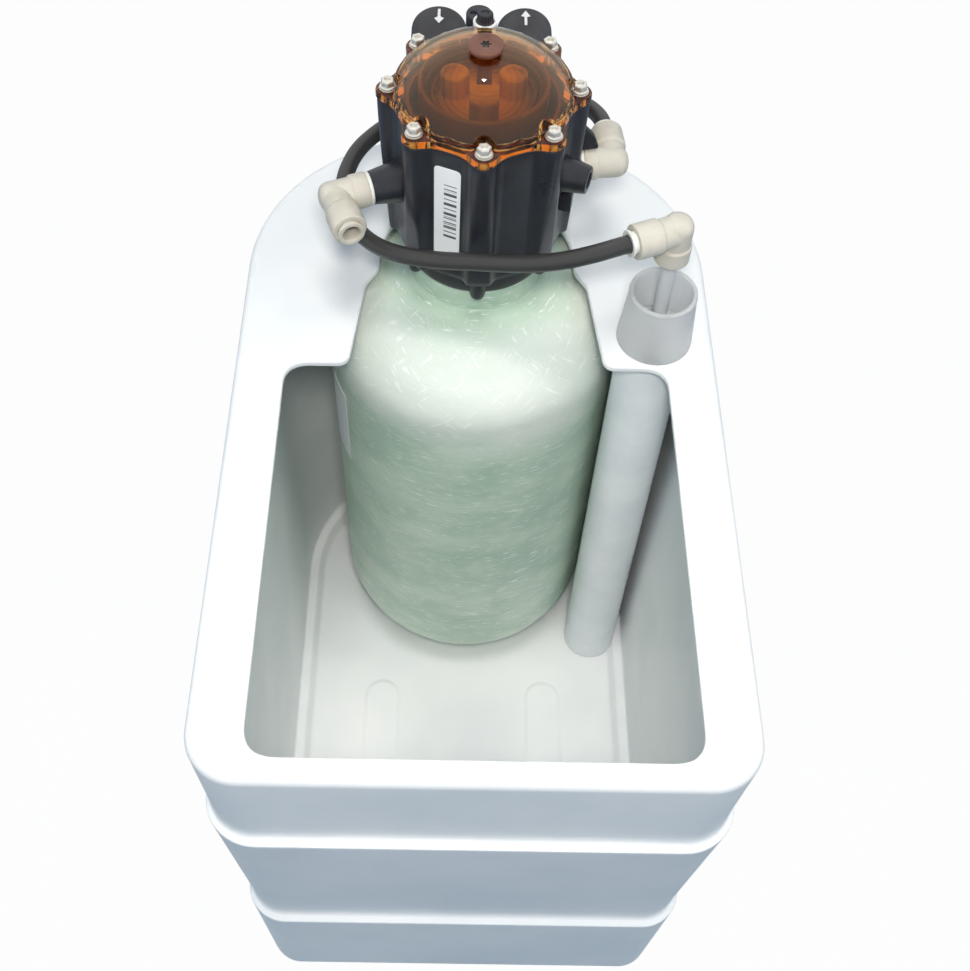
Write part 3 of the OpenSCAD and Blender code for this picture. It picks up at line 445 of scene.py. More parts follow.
@dataclass(frozen=True)
class Place:
    """A place and a direction: local +Z goes along, and local +X to the side."""

    origin: Triple
    along: Triple = (0.0, 0.0, 1.0)
    side: Triple = (1.0, 0.0, 0.0)

    def put(self, local: Array) -> Array:
        """Points carried from local axes to the frame's axes.

        Args:
            local: points in local axes.
        Returns:
            The same points in the frame's axes.
        """
        z = np.array(self.along, float)
        z /= np.linalg.norm(z)
        x = np.array(self.side, float)
        x -= z * (x @ z)
        x /= np.linalg.norm(x)
        return np.asarray(self.origin, float) + local @ np.stack([x, np.cross(z, x), z])

    def step(self, distance: float) -> "Place":
        """The same place, moved along its own direction."""
        z = np.array(self.along, float)
        z /= np.linalg.norm(z)
        return Place(tuple(np.asarray(self.origin, float) + distance * z), self.along, self.side)


AXIS = Place((0.0, AXIS_Y, 0.0))


class Skin:
    """Surfaces gathered into one mesh, in millimetres."""

    def __init__(self) -> None:
        """Start with nothing."""
        self.points: List[Array] = []
        self.faces: List[Array] = []
        self.paints: List[Array] = []
        self.count = 0

    def add(self, points: Array, faces: Array, paint: Any = 0) -> None:
        """Add points and the four-cornered faces between them.

        Args:
            points: one row for each point.
            faces: rows of four point numbers; a triangle repeats its last.
            paint: number of the material slot, or one for each face.
        """
        self.points.append(points)
        self.faces.append(faces + self.count)
        self.paints.append(np.broadcast_to(np.asarray(paint), len(faces)))
        self.count += len(points)

    def grid(self, net: Array, ring: bool = True, tube: bool = False, paint: Any = 0,
             shell: bool = True, flip: bool = False) -> None:
        """Add a net of points as quads between neighbours in its rows and columns.

        Args:
            net: points by row and column.
            ring: the last column meets the first.
            tube: the last row meets the first.
            paint: number of the material slot, or one for each row of faces.
            shell: the net closes on itself, so its faces are turned outwards by its volume.
            flip: turn an open net's faces the other way.
        """
        rows, cols = net.shape[:2]
        r, c = np.meshgrid(np.arange(rows if tube else rows - 1), np.arange(cols if ring else cols - 1),
                           indexing="ij")
        down, over = (r + 1) % rows, (c + 1) % cols
        faces = np.stack([r * cols + c, r * cols + over, down * cols + over, down * cols + c],
                         -1).reshape(-1, 4)
        points = net.reshape(-1, 3)
        if shell:
            p = points[faces] - points.mean(0)
            volume = np.einsum("ni,ni->", p[:, 0], np.cross(p[:, 1], p[:, 2]))
            volume += np.einsum("ni,ni->", p[:, 0], np.cross(p[:, 2], p[:, 3]))
            flip = volume < 0
        paints = np.broadcast_to(np.asarray(paint)[..., None], r.shape).reshape(-1)
        self.add(points, faces[:, ::-1] if flip else faces, paints)

    def plate(self, loops: Sequence[Array], z: float, up: bool, paint: int = 0) -> None:
        """Add a flat plate between loops: the first is its outline, and the rest are its holes.

        Args:
            loops: points (x, y) round each loop.
            z: height of the plate.
            up: the plate faces up.
            paint: number of the material slot.
        """
        flat = np.concatenate(loops)
        starts = np.cumsum([0] + [len(loop) for loop in loops])
        edges = [(int(a + i), int(a + (i + 1) % (b - a))) for a, b in zip(starts, starts[1:])
                 for i in range(b - a)]
        found = delaunay_2d_cdt([Vector(p) for p in flat.tolist()], edges, [], 0, 1e-6)
        source = np.array([orig[0] for orig in found[3]])
        faces = source[np.array(found[2])]
        middle = flat[faces].mean(1)
        keep = inside(middle, loops[0])
        for hole in loops[1:]:
            keep &= ~inside(middle, hole)
        faces = faces[keep]
        corner = flat[faces]
        first, second = corner[:, 1] - corner[:, 0], corner[:, 2] - corner[:, 0]
        turns = first[:, 0] * second[:, 1] - first[:, 1] * second[:, 0]
        faces = np.where(((turns > 0) == up)[:, None], faces, faces[:, ::-1])
        self.add(np.column_stack([flat, np.full(len(flat), z)]), np.column_stack([faces, faces[:, 2]]), paint)

    def build(self, name: str, finishes: Sequence[Finish], body: str = "base", slot: str = "",
              nodes: Sequence[str] = (), crease: float = 32.0) -> bpy.types.Object:
        """Weld the surfaces and make them a piece of the object.

        Args:
            name: the piece's name.
            finishes: its finishes, in the order of the slot numbers.
            body: the body that it rides on.
            slot: not used.
            nodes: the nodes that it stands for.
            crease: angle over which an edge stays sharp, in degrees.
        Returns:
            The piece.
        """
        points = np.concatenate(self.points)
        faces = np.concatenate(self.faces)
        paints = np.concatenate(self.paints)
        _, first, same = np.unique(np.round(points / WELD).astype(np.int64), axis=0, return_index=True,
                                   return_inverse=True)
        faces = same.reshape(-1)[faces]
        points = points[first]
        apart = faces != np.roll(faces, -1, axis=1)
        whole, three = apart.all(1), apart.sum(1) == 3
        order = np.argsort(~apart[three], axis=1, kind="stable")[:, :3]
        corners = np.take_along_axis(faces[three], np.sort(order, axis=1), axis=1)
        mesh = bpy.data.meshes.new(name)
        mesh.from_pydata((points * MM).tolist(), [], faces[whole].tolist() + corners.tolist())
        for finish in finishes:
            mesh.materials.append(finish.get())
        mesh.polygons.foreach_set("material_index", np.concatenate([paints[whole], paints[three]]).astype(np.int32))
        mesh.shade_smooth()
        mesh.set_sharp_from_angle(angle=np.radians(crease))
        mesh.validate()
        mesh.update()
        piece = bpy.data.objects.new(name, mesh)
        bpy.context.scene.collection.objects.link(piece)
        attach(piece, body)
        if nodes:
            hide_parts(*nodes)
        LOG.info("%s: %d points, rides on %s", name, len(points), body)
        return piece


def inside(points: Array, loop: Array) -> Array:
    """Which points lie inside a loop, by counting the edges to their right.

    Args:
        points: places (x, y).
        loop: points (x, y) round the loop.
    Returns:
        True for each place inside.
    """
    a, b = loop[None], np.roll(loop, -1, axis=0)[None]
    x, y = points[:, None, 0], points[:, None, 1]
    crosses = (a[..., 1] > y) != (b[..., 1] > y)
    rise = np.where(b[..., 1] == a[..., 1], 1.0, b[..., 1] - a[..., 1])
    at = a[..., 0] + (y - a[..., 1]) * (b[..., 0] - a[..., 0]) / rise
    return (crosses & (x < at)).sum(1) % 2 == 1


def eased(corners: Sequence[Triple], closed: bool = False, steps: int = 5) -> Array:
    """A line through corners, with each corner rounded by a short parabola between its two legs.

    Args:
        corners: two coordinates of each corner and the length of leg that its rounding takes.
        closed: the last corner leads back to the first.
        steps: points on each rounding.
    Returns:
        Points along the line.
    """
    at = np.array([c[:2] for c in corners], float)
    ease = np.array([c[2] for c in corners], float)
    if not closed:
        ease[[0, -1]] = 0.0
    back, ahead = np.roll(at, 1, axis=0) - at, np.roll(at, -1, axis=0) - at
    start = at + ease[:, None] * back / np.linalg.norm(back, axis=1, keepdims=True)
    end = at + ease[:, None] * ahead / np.linalg.norm(ahead, axis=1, keepdims=True)
    t = np.linspace(0.0, 1.0, steps)[None, :, None]
    bend = (1 - t) ** 2 * start[:, None] + 2 * t * (1 - t) * at[:, None] + t ** 2 * end[:, None]
    keep = np.ones((len(at), steps), bool)
    keep[ease == 0.0, 1:] = False
    return bend[keep]


def around(steps: int) -> Array:
    """Angles round a circle, evenly spaced from nought."""
    return np.arange(steps) * 2 * np.pi / steps


def polar(r: Any, a: Array, z: Any) -> Array:
    """Points at distances r and angles a round local +Z, at heights z."""
    return np.stack(np.broadcast_arrays(r * np.cos(a), r * np.sin(a), z), -1)


def turned(profile: Array, place: Place, steps: int = 64) -> Array:
    """A surface of revolution: each (radius, height) of the profile goes round local +Z.

    Args:
        profile: radii and heights.
        place: where its axis starts and points.
        steps: points round it.
    Returns:
        The net, by profile point and angle.
    """
    return place.put(polar(profile[:, 0, None], around(steps), profile[:, 1, None]))


def piece(name: str, net: Array, finishes: Sequence[Finish], slot: str, nodes: Sequence[str] = (), body: str = "base",
          tube: bool = False, paint: Any = 0, crease: float = 32.0) -> bpy.types.Object:
    """Make a piece from a single net that closes on itself.

    Args:
        name: the piece's name.
        net: points by row and column.
        finishes: its finishes, in the order of the slot numbers.
        slot: passed on to Skin.build, which does not use it.
        nodes: the nodes that it stands for.
        body: the body that it rides on.
        tube: the last row meets the first.
        paint: number of the finish, or one for each row of faces.
        crease: angle over which an edge stays sharp, in degrees.
    Returns:
        The piece.
    """
    skin = Skin()
    skin.grid(net, tube=tube, paint=paint)
    return skin.build(name, finishes, body, slot, nodes, crease)


def smooth_max(a: Array, b: Array, blend: float) -> Array:
    """The larger of two values, with a round blend where they are nearly equal.

    Args:
        a, b: values.
        blend: difference under which they blend.
    Returns:
        The blended values.
    """
    near = np.maximum(blend - np.abs(a - b), 0.0) / blend
    return np.maximum(a, b) + near * near * blend / 4


def smooth_curve(route: Array, per_span: int) -> Array:
    """A Catmull-Rom curve through a route: on each span, a cubic of its four nearest points.

    Args:
        route: points that the curve passes.
        per_span: points on each span.
    Returns:
        Points along the curve.
    """
    ends = np.vstack([2 * route[0] - route[1], route, 2 * route[-1] - route[-2]])
    p0, p1, p2, p3 = (ends[k:k + len(route) - 1, None] for k in range(4))
    t = (np.arange(per_span) / per_span)[None, :, None]
    curve = 0.5 * (2 * p1 + (p2 - p0) * t + (2 * p0 - 5 * p1 + 4 * p2 - p3) * t ** 2
                   + (3 * p1 - p0 - 3 * p2 + p3) * t ** 3)
    return np.vstack([curve.reshape(-1, 3), route[-1:]])


def tube_net(path: Array, radius: float, steps: int) -> Array:
    """A round tube along a path that is never upright: rings stand square to the path.

    Args:
        path: points along the middle.
        radius: radius of the tube.
        steps: points round a ring.
    Returns:
        The net, by ring and angle.
    """
    way = np.gradient(path, axis=0)
    way /= np.linalg.norm(way, axis=1, keepdims=True)
    side = np.cross(way, [0.0, 0.0, 1.0])
    side /= np.linalg.norm(side, axis=1, keepdims=True)
    up = np.cross(side, way)
    a = around(steps)[None, :, None]
    return path[:, None] + radius * (np.cos(a) * side[:, None] + np.sin(a) * up[:, None])


def dress(finish: Finish, *nodes: str) -> None:
    """Give frame nodes that keep their shape a finish.

    Args:
        finish: the finish.
        nodes: the nodes' names.
    """
    for name in nodes:
        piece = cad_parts[name]
        if not piece.data.materials:
            piece.data.materials.append(finish.get())
        for slot in piece.material_slots:
            slot.material = finish.get()
        LOG.info("%s: dressed in %s", name, finish.value.name)


@dataclass
class Studio:
    """Camera at the photograph's view, soft light from above, and a pale floor."""

    position: Triple = (-0.0153, -0.4321, 0.9352)
    pitch: float = 55.874
    yaw: float = 1.009
    roll: float = 1.913
    lens: float = 47.19
    shift: Tuple[float, float] = (0.0262, 0.0015)
    top_power: float = 51.0
    front_power: float = 4.4
    salt_power: float = 96.0
    fill_power: float = 5.0
    sky: float = 0.39

    def camera(self) -> None:
        """Aim the camera: pitch down, yaw to the right, then roll about the view."""
        pitch, yaw, roll = np.radians([self.pitch, self.yaw, self.roll])
        ahead = np.array([np.sin(yaw) * np.cos(pitch), np.cos(yaw) * np.cos(pitch), -np.sin(pitch)])
        right = np.array([np.cos(yaw), -np.sin(yaw), 0.0])
        up = np.cross(right, ahead)
        turned_right = np.cos(roll) * right + np.sin(roll) * up
        turned_up = -np.sin(roll) * right + np.cos(roll) * up
        data = bpy.data.cameras.new("photo_camera")
        data.lens, data.sensor_width, data.sensor_fit = self.lens, 36.0, "HORIZONTAL"
        data.shift_x, data.shift_y = self.shift
        data.clip_start = 0.01
        camera = bpy.data.objects.new("photo_camera", data)
        matrix = np.eye(4)
        matrix[:3, :3] = np.column_stack([turned_right, turned_up, -ahead])
        matrix[:3, 3] = self.position
        camera.matrix_world = Matrix(matrix.tolist())
        bpy.context.scene.collection.objects.link(camera)
        bpy.context.scene.camera = camera

    def light(self) -> None:
        """Hang a wide lamp overhead, one in front, a glint, three low fills and two spots into the salt space."""
        for name, kind, place, aim, size, power in (
                ("lamp_top", "AREA", (0.05, -0.6, 4.0), (0.0, 0.0, 0.3), 1.1, self.top_power),
                ("lamp_front", "AREA", (0.0, -0.45, 1.05), (0.0, 0.05, 0.42), 0.12, self.front_power),
                ("glint_back", "AREA", (0.02, 1.0, 4.0), (0.0, 0.1, 0.5), 0.22, 8.0),
                *((name, "AREA", place, (0.0, 0.0, 0.25), 0.6, self.fill_power) for name, place in (
                    ("fill_left", (-1.7, 0.1, 0.45)), ("fill_right", (1.7, 0.1, 0.45)),
                    ("fill_back", (0.0, 1.8, 0.45)))),
                *((name, "SPOT", (0.9 * side, -0.15, 2.7), (-0.12 * side, -0.07, 0.19), 0.12, self.salt_power)
                  for name, side in (("lamp_left", -1), ("lamp_right", 1)))):
            data = bpy.data.lights.new(name, kind)
            data.energy, data.color = power, (1.0, 0.95, 0.89)
            if kind == "AREA":
                data.shape, data.size = "DISK", size
            else:
                data.spot_size, data.spot_blend, data.shadow_soft_size = np.radians(4.3), 0.6, size
            lamp = bpy.data.objects.new(name, data)
            lamp.location = place
            lamp.rotation_euler = (Vector(aim) - Vector(place)).to_track_quat("-Z", "Y").to_euler()
            lamp.visible_camera = lamp.visible_transmission = False
            lamp.visible_glossy = name.startswith("glint")
            lamp.visible_diffuse = not name.startswith("glint")
            bpy.context.scene.collection.objects.link(lamp)
        world = bpy.data.worlds.new("studio")
        world.use_nodes = True
        tree = world.node_tree
        background = tree.nodes["Background"]
        background.inputs["Color"].default_value = (0.66, 0.84, 1.0, 1.0)
        background.inputs["Strength"].default_value = self.sky
        white = tree.nodes.new("ShaderNodeBackground")
        white.inputs["Color"].default_value = (1.0, 1.0, 1.0, 1.0)
        path = tree.nodes.new("ShaderNodeLightPath")
        mirror, seen = (tree.nodes.new("ShaderNodeMath") for _ in range(2))
        mirror.operation = seen.operation = "MAXIMUM"
        mix = tree.nodes.new("ShaderNodeMixShader")
        for source, target in ((path.outputs["Is Glossy Ray"], mirror.inputs[0]),
                               (path.outputs["Is Transmission Ray"], mirror.inputs[1]),
                               (path.outputs["Is Camera Ray"], seen.inputs[0]), (mirror.outputs[0], seen.inputs[1]),
                               (seen.outputs[0], mix.inputs[0]), (background.outputs[0], mix.inputs[1]),
                               (white.outputs[0], mix.inputs[2]),
                               (mix.outputs[0], tree.nodes["World Output"].inputs["Surface"])):
            tree.links.new(source, target)
        bpy.context.scene.world = world
        bpy.context.scene.view_settings.view_transform = "Standard"

    def floor(self) -> None:
        """Lay a round white floor that the camera sees as white and that keeps the object's shadow."""
        mesh = bpy.data.meshes.new("floor")
        skin = Skin()
        skin.grid(polar(np.array([[0.0], [900.0], [3000.0], [6000.0]]), around(96), 0.0), shell=False)
        mesh.from_pydata((skin.points[0] * MM).tolist(), [], skin.faces[0].tolist())
        paint = Paint("floor_pale", Roughness=0.6)
        clouds = paint.noise(paint.where(), 2.0)
        paint.feed("Base Color", paint.mix((0.3, 0.37, 0.45, 1.0), (0.32, 0.39, 0.47, 1.0), clouds))
        glow = paint.tree.nodes.new("ShaderNodeEmission")
        glow.inputs["Color"].default_value = (1.0, 1.0, 1.0, 1.0)
        seen = paint.node("ShaderNodeLightPath", output="Is Camera Ray")
        mix = paint.tree.nodes.new("ShaderNodeMixShader")
        out = next(n for n in paint.tree.nodes if n.type == "OUTPUT_MATERIAL")
        paint.tree.links.new((seen * 0.975).socket, mix.inputs[0])
        paint.tree.links.new(paint.shader.outputs[0], mix.inputs[1])
        paint.tree.links.new(glow.outputs[0], mix.inputs[2])
        paint.tree.links.new(mix.outputs[0], out.inputs["Surface"])
        mesh.materials.append(paint.material)
        piece = bpy.data.objects.new("floor", mesh)
        bpy.context.scene.collection.objects.link(piece)


@dataclass
class Hose:
    """Black brine hose from the right rear elbow round the head to the well elbow."""

    diameter: float = 9.5
    length: float = 0.439
    port_angle: float = 6.0
    port_corner: float = 74.0
    port_height: float = 70.0
    well: Tuple[float, float] = (102.03, -59.48)
    well_angle: float = 202.0
    well_height: float = 84.0
    route: Tuple[Triple, ...] = (
        (66.5, 52.5, 67.5), (58.5, 64.5, 64.5), (48, 72.5, 62), (35.5, 77, 60), (21.5, 79, 58.3), (6.5, 79, 57),
        (-9, 76.5, 56), (-24, 72, 55), (-38, 65.5, 54.5), (-50.5, 56.5, 54), (-61.5, 45.5, 53.5),
        (-70, 32.5, 53.5), (-75, 18, 53.5), (-77, 3, 53), (-75, -13, 52), (-69.5, -27.5, 51.5),
        (-60.5, -39.5, 52), (-49, -48.5, 53.5), (-35.5, -55, 56), (-20, -60, 59), (-4, -64, 62.5),
        (12, -68.5, 66.5), (27, -72.5, 71), (42, -75.5, 76.5), (57, -75.5, 81.5))

    def points(self) -> Array:
        """Route about the tank's axis, with a straight lead out of each elbow, in the frame's axes.

        Returns:
            The route's points.
        """
        a, b = np.radians([self.port_angle, self.well_angle])
        leads = np.array([12.0, 32.0])
        port = np.column_stack([self.port_corner * np.cos(a) - leads * np.sin(a),
                                self.port_corner * np.sin(a) + leads * np.cos(a), np.full(2, self.port_height)])
        runs = np.array([33.0, 13.0])
        well = np.column_stack([self.well[0] + runs * np.cos(b), self.well[1] + runs * np.sin(b),
                                np.full(2, self.well_height)])
        return np.vstack([port, np.array(self.route, float), well]) + [0.0, AXIS_Y, PLATE_Z]

    def build(self) -> None:
        path = smooth_curve(self.points(), 8)
        net = tube_net(path, self.diameter / 2, 24)
        ends = [np.broadcast_to(path[k], (1, 24, 3)) for k in (0, -1)]
        hose = piece("brine_hose_skin", np.concatenate([ends[0], net, ends[1]]), [Finish.HOSE], "hose_black",
                     ["brine_hose"])


@dataclass
class Cabinet:
    """Moulded salt cabinet: walls in three tiers, a top plate with its holes, and a salt floor."""

    width: float = 275.0
    depth: float = 445.0
    height: float = 380.0
    wall: float = 4.0
    floor: float = 8.0
    side_share: float = 0.42
    front_corner: float = 28.0
    back_corner: float = 118.0
    foot_lean: float = 13.5
    middle_lean: float = 13.0
    rim_lean: float = 2.5
    ledge_depth: float = 5.5
    ledges: Tuple[float, float] = (133.0, 297.0)
    foot_round: float = 12.0
    foot_recess: float = 30.0
    rim_round: float = 6.0
    edge: float = 1.2
    opening: Tuple[float, float, float] = (108.0, -207.5, 27.52)
    well: Tuple[float, float, float] = (102.03, 51.02, 20.0)
    bars: Tuple[float, float, float, float] = (63.0, 15.5, -187.5, 10.5)
    keyhole: float = 58.0

    def section(self, lean: Array, inset: Array, z: Array) -> Array:
        """Loops round the cabinet: straight sides between four quarter arcs, leaning in most at the front.

        Args:
            lean: how far each loop leans in.
            inset: how far each loop lies inside the wall.
            z: height of each loop.
        Returns:
            The net, by loop and point.
        """
        lean, inset, z = (np.atleast_1d(np.asarray(v, float)) for v in (lean, inset, z))
        w = self.width / 2 - self.side_share * lean - inset
        front = -self.depth / 2 + lean + inset
        back = self.depth / 2 - self.side_share * lean - inset
        rf = np.maximum(self.front_corner - 0.5 * lean - inset, 4.0)
        rb = np.maximum(self.back_corner - self.side_share * lean - inset, 4.0)
        arcs = []
        for x, y, r, start, steps in ((w - rf, front + rf, rf, -90, 14), (w - rb, back - rb, rb, 0, 36),
                                      (rb - w, back - rb, rb, 90, 36), (rf - w, front + rf, rf, 180, 14)):
            a = np.radians(start + 90 * np.linspace(0.0, 1.0, steps + 1))
            arcs.append(np.stack([x[:, None] + r[:, None] * np.cos(a), y[:, None] + r[:, None] * np.sin(a),
                                  np.broadcast_to(z[:, None], (len(z), steps + 1))], -1))
        t = np.array([0.04, 0.96])[None, :, None]
        parts = []
        for arc, following in zip(arcs, arcs[1:] + arcs[:1]):
            parts += [arc, (1 - t) * arc[:, -1:] + t * following[:, :1]]
        return np.concatenate(parts, axis=1)

    def ledge(self, lean: float, z: float) -> Array:
        """Lean and height of a ledge's levels: the wall above curves out to a rather sharp lower edge.

        Args:
            lean: lean of the wall above.
            z: height of the edge.
        Returns:
            Rows of lean and height.
        """
        d = self.ledge_depth
        return eased([(lean - d, z - 1.6, 0), (lean - d, z - 0.6, 0.3), (lean - d + 0.5, z, 0.3),
                      (lean - 0.3 * d, z + 0.7, 0.5), (lean - 0.1 * d, z + 2.0, 0.8), (lean, z + 5.0, 0)], steps=5)

    def outer(self) -> Array:
        """Outer wall from the foot's edge to the rim's top.

        Returns:
            The net, by level and point.
        """
        turn = np.linspace(0.0, np.pi / 2, 9)
        foot = np.column_stack([np.full(9, self.foot_lean), self.foot_round * 0.9 * (1 - np.sin(turn)),
                                self.foot_round * (1 - np.cos(turn))])
        low, high = self.ledge(self.middle_lean, self.ledges[0]), self.ledge(self.ledge_depth, self.ledges[1])
        rim = np.column_stack([np.full(9, self.rim_lean), self.rim_round * 0.85 * (1 - np.cos(turn)),
                               self.height - self.rim_round * (1 - np.sin(turn))])
        tiers = np.vstack([low, high])
        levels = np.vstack([foot, np.column_stack([tiers[:, 0], np.zeros(len(tiers)), tiers[:, 1]]), rim])
        long = np.diff(levels[:, 2]) > 30.0
        near = np.array([0.02, 0.5, 0.98])[None, :, None]
        braces = (1 - near) * levels[:-1][long][:, None] + near * levels[1:][long][:, None]
        levels = np.vstack([levels, braces.reshape(-1, 3)])
        return self.section(*levels[np.argsort(levels[:, 2], kind="stable")].T)

    def inner(self) -> Array:
        """Inner wall from the top plate's underside down to a low step and the salt floor.

        Returns:
            The net, by level and point.
        """
        w, z = self.wall, self.floor
        step = eased([(w, z + 22.0, 0), (w, z + 9.0, 2.0), (w + 7.0, z + 8.0, 1.2), (w + 11.0, z + 1.2, 1.2),
                      (w + 14.0, z, 0)], steps=6)
        walls = np.array([[self.rim_lean, w, self.height - w], [self.ledge_depth, w, self.ledges[1]],
                          [self.middle_lean, w, self.ledges[0]]])
        foot = np.column_stack([np.full(len(step), self.foot_lean), step])
        return self.section(*np.vstack([walls, foot]).T)

    def mouth(self) -> Array:
        """Outline of the salt opening with the keyhole for the tank's neck behind it.

        Returns:
            Points (x, y) round it.
        """
        x, y0, y1 = self.opening
        half = [(x, y0, 16.0), (x, y1, 14.0), (72.5, y1, 7.0), (65.25, AXIS_Y - 21, 3.0),
                (self.keyhole, AXIS_Y - 9, 3.0)]
        a = np.radians(np.arange(0.0, 181.0, 4.0))
        arc = polar(self.keyhole, a, 0.0) + [0.0, AXIS_Y, 0.0]
        other = [(-cx, cy, e) for cx, cy, e in reversed(half)]
        line = eased(half + [tuple(p) for p in arc] + other, closed=True, steps=9)
        return resampled(line, 2.4)

    def hole(self, skin: Skin, loop: Array) -> Tuple[Array, Array]:
        """Line a hole in the top plate with rounded edges.

        Args:
            skin: the mesh that gets the lining.
            loop: the hole's outline.
        Returns:
            The loops where the lining meets the plate's upper and lower faces.
        """
        way = np.roll(loop, -1, axis=0) - np.roll(loop, 1, axis=0)
        out = np.column_stack([way[:, 1], -way[:, 0]]) / np.linalg.norm(way, axis=1, keepdims=True)
        area = np.sum(loop[:, 0] * np.roll(loop[:, 1], -1) - loop[:, 1] * np.roll(loop[:, 0], -1))
        out = out if area > 0 else -out
        turn = np.linspace(0.0, np.pi / 2, 6)
        top, e = self.height, self.edge
        upper, lower = 1 - np.sin(turn), 1 - np.cos(turn)
        rows = np.vstack([[[e + 0.3, top]], np.column_stack([e * upper, top - e * lower]),
                          np.column_stack([e * 0.5 * lower, top - self.wall + e * 0.5 * upper]),
                          [[e, top - self.wall]]])
        flat = loop[None] + rows[:, 0, None, None] * out[None]
        net = np.concatenate([flat, np.broadcast_to(rows[:, 1, None, None], (*flat.shape[:2], 1))], -1)
        skin.grid(net, shell=False, flip=area > 0)
        return net[0, :, :2], net[-1, :, :2]

    def build(self) -> None:
        """Make the whole moulding as one closed shell with its floor bars."""
        skin = Skin()
        outer, inner = self.outer(), self.inner()
        skin.grid(outer, shell=False)
        skin.grid(inner, shell=False)
        loops = [self.mouth(), polar(self.well[2], around(90), 0.0)[:, :2] + self.well[:2]]
        tops, unders = zip(*(self.hole(skin, loop) for loop in loops))
        edge = self.section(self.rim_lean, self.rim_round * 0.85 + 1.2, self.height)
        skin.grid(np.concatenate([outer[-1:], edge]), shell=False)
        skin.plate([edge[0, :, :2], *tops], self.height, True)
        skin.plate([inner[0, :, :2], *unders], self.height - self.wall, False)
        skin.plate([inner[-1, :, :2]], self.floor, True)
        recess = self.section(self.foot_lean, [self.foot_recess] * 2, [0.0, self.floor - self.wall])
        skin.grid(np.concatenate([recess[::-1], outer[:1]]), shell=False)
        skin.plate([recess[1, :, :2]], self.floor - self.wall, False)
        x, half, front, back = self.bars
        for side in (-1, 1):
            self.bar(skin, side * x, half, front, back)
        skin.build("cabinet_shell", [Finish.CABINET], "base", "cabinet_plastic", ["cabinet"], 40.0)

    def bar(self, skin: Skin, x: float, half: float, front: float, back: float) -> None:
        """Raise one soft-edged bar from the salt floor: rounded loops that draw in as they rise.

        Args:
            skin: the mesh that gets the bar.
            x: middle of the bar.
            half: half its width.
            front, back: its ends.
        """
        a = around(64)
        reach = (back - front) / 2 - half
        rise = np.linspace(0.0, np.pi, 9)
        inset = np.concatenate([[0.0], 5.0 * np.linspace(0.0, 1.0, 9), [half - 0.5]])
        z = np.concatenate([[self.floor - 0.5], self.floor - 0.1 + 0.8 * (1 - np.cos(rise)), [self.floor + 1.5]])
        r = (half - inset)[:, None]
        shift = np.where(np.sin(a) >= 0, reach, -reach)[None]
        net = np.stack([x + r * np.cos(a), (front + back) / 2 + shift + r * np.sin(a),
                        np.broadcast_to(z[:, None], (len(z), 64))], -1)
        middle = [net[k].mean(0, keepdims=True).repeat(64, 0)[None] for k in (0, -1)]
        middle[0][..., 1] = net[0, :, 1]
        middle[1][..., 1] = net[-1, :, 1]
        skin.grid(np.concatenate([middle[0], net, middle[1]]))


def resampled(line: Array, spacing: float) -> Array:
    """A closed line with points at even distances along it.

    Args:
        line: points round the line.
        spacing: distance wanted between points.
    Returns:
        The evenly spaced points.
    """
    ring = np.vstack([line, line[:1]])
    along = np.concatenate([[0.0], np.cumsum(np.linalg.norm(np.diff(ring, axis=0), axis=1))])
    at = np.linspace(0.0, along[-1], int(round(along[-1] / spacing)) + 1)[:-1]
    return np.column_stack([np.interp(at, along, ring[:, k]) for k in (0, 1)])


@dataclass
class Tank:
    """Wound pressure tank with a round foot, a domed shoulder and a short neck."""

    radius: float = 92.0
    foot_round: float = 60.0
    base: float = 8.0
    shoulder: float = 328.0
    rise: float = 54.0
    neck: float = 39.0
    top: float = 404.0
    label_turn: Tuple[float, float] = (186.0, 209.0)
    label_height: Tuple[float, float] = (232.0, 300.0)

    def profile(self) -> Array:
        """Half outline: flat foot, quarter arc, straight side, quarter ellipse and neck.

        Returns:
            Radii and heights.
        """
        a = np.linspace(-np.pi / 2, 0.0, 20)
        foot = np.column_stack([self.radius - self.foot_round + self.foot_round * np.cos(a),
                                self.base + self.foot_round + self.foot_round * np.sin(a)])
        side = np.column_stack([np.full(30, self.radius), np.linspace(foot[-1, 1], self.shoulder, 32)[1:-1]])
        b = np.linspace(0.0, np.arccos(self.neck / self.radius), 28)
        shoulder = np.column_stack([self.radius * np.cos(b), self.shoulder + self.rise * np.sin(b)])
        neck = eased([tuple(shoulder[-3]) + (0,), (self.neck, shoulder[-1, 1], 2.0), (self.neck, self.top, 0.5),
                      (0.0, self.top, 0)])[1:]
        return np.vstack([[[0.0, self.base]], foot, side, shoulder[:-3], neck])

    def build(self) -> None:
        """Turn the tank and stick its blank label on the left side."""
        piece("resin_tank_skin", turned(self.profile(), AXIS, 144), [Finish.TANK], "tank_shell", ["resin_tank"])
        a = np.radians(np.linspace(*self.label_turn, 24))
        z = np.linspace(*self.label_height, 8)[None, :, None]
        r = self.radius + np.array([0.05, 0.3])[:, None, None]
        piece("tank_label", slab(AXIS.put(polar(r, a, z))), [Finish.PAPER], "white_plastic")


def slab(sheet: Array) -> Array:
    """A thin closed slab from its inner and outer sheets: loops round its edge, closed at both ends.

    Args:
        sheet: points by side, row and column.
    Returns:
        A net whose columns go round the slab's section and whose rows run along it.
    """
    inner, outer = sheet
    loop = np.concatenate([outer, inner[:, ::-1]], axis=1)
    half = inner.shape[1]
    fold = np.concatenate([np.arange(half), np.arange(half)[::-1]])
    low = (outer[:1] + inner[:1])[:, fold] / 2
    high = (outer[-1:] + inner[-1:])[:, fold] / 2
    return np.concatenate([low, loop, high])


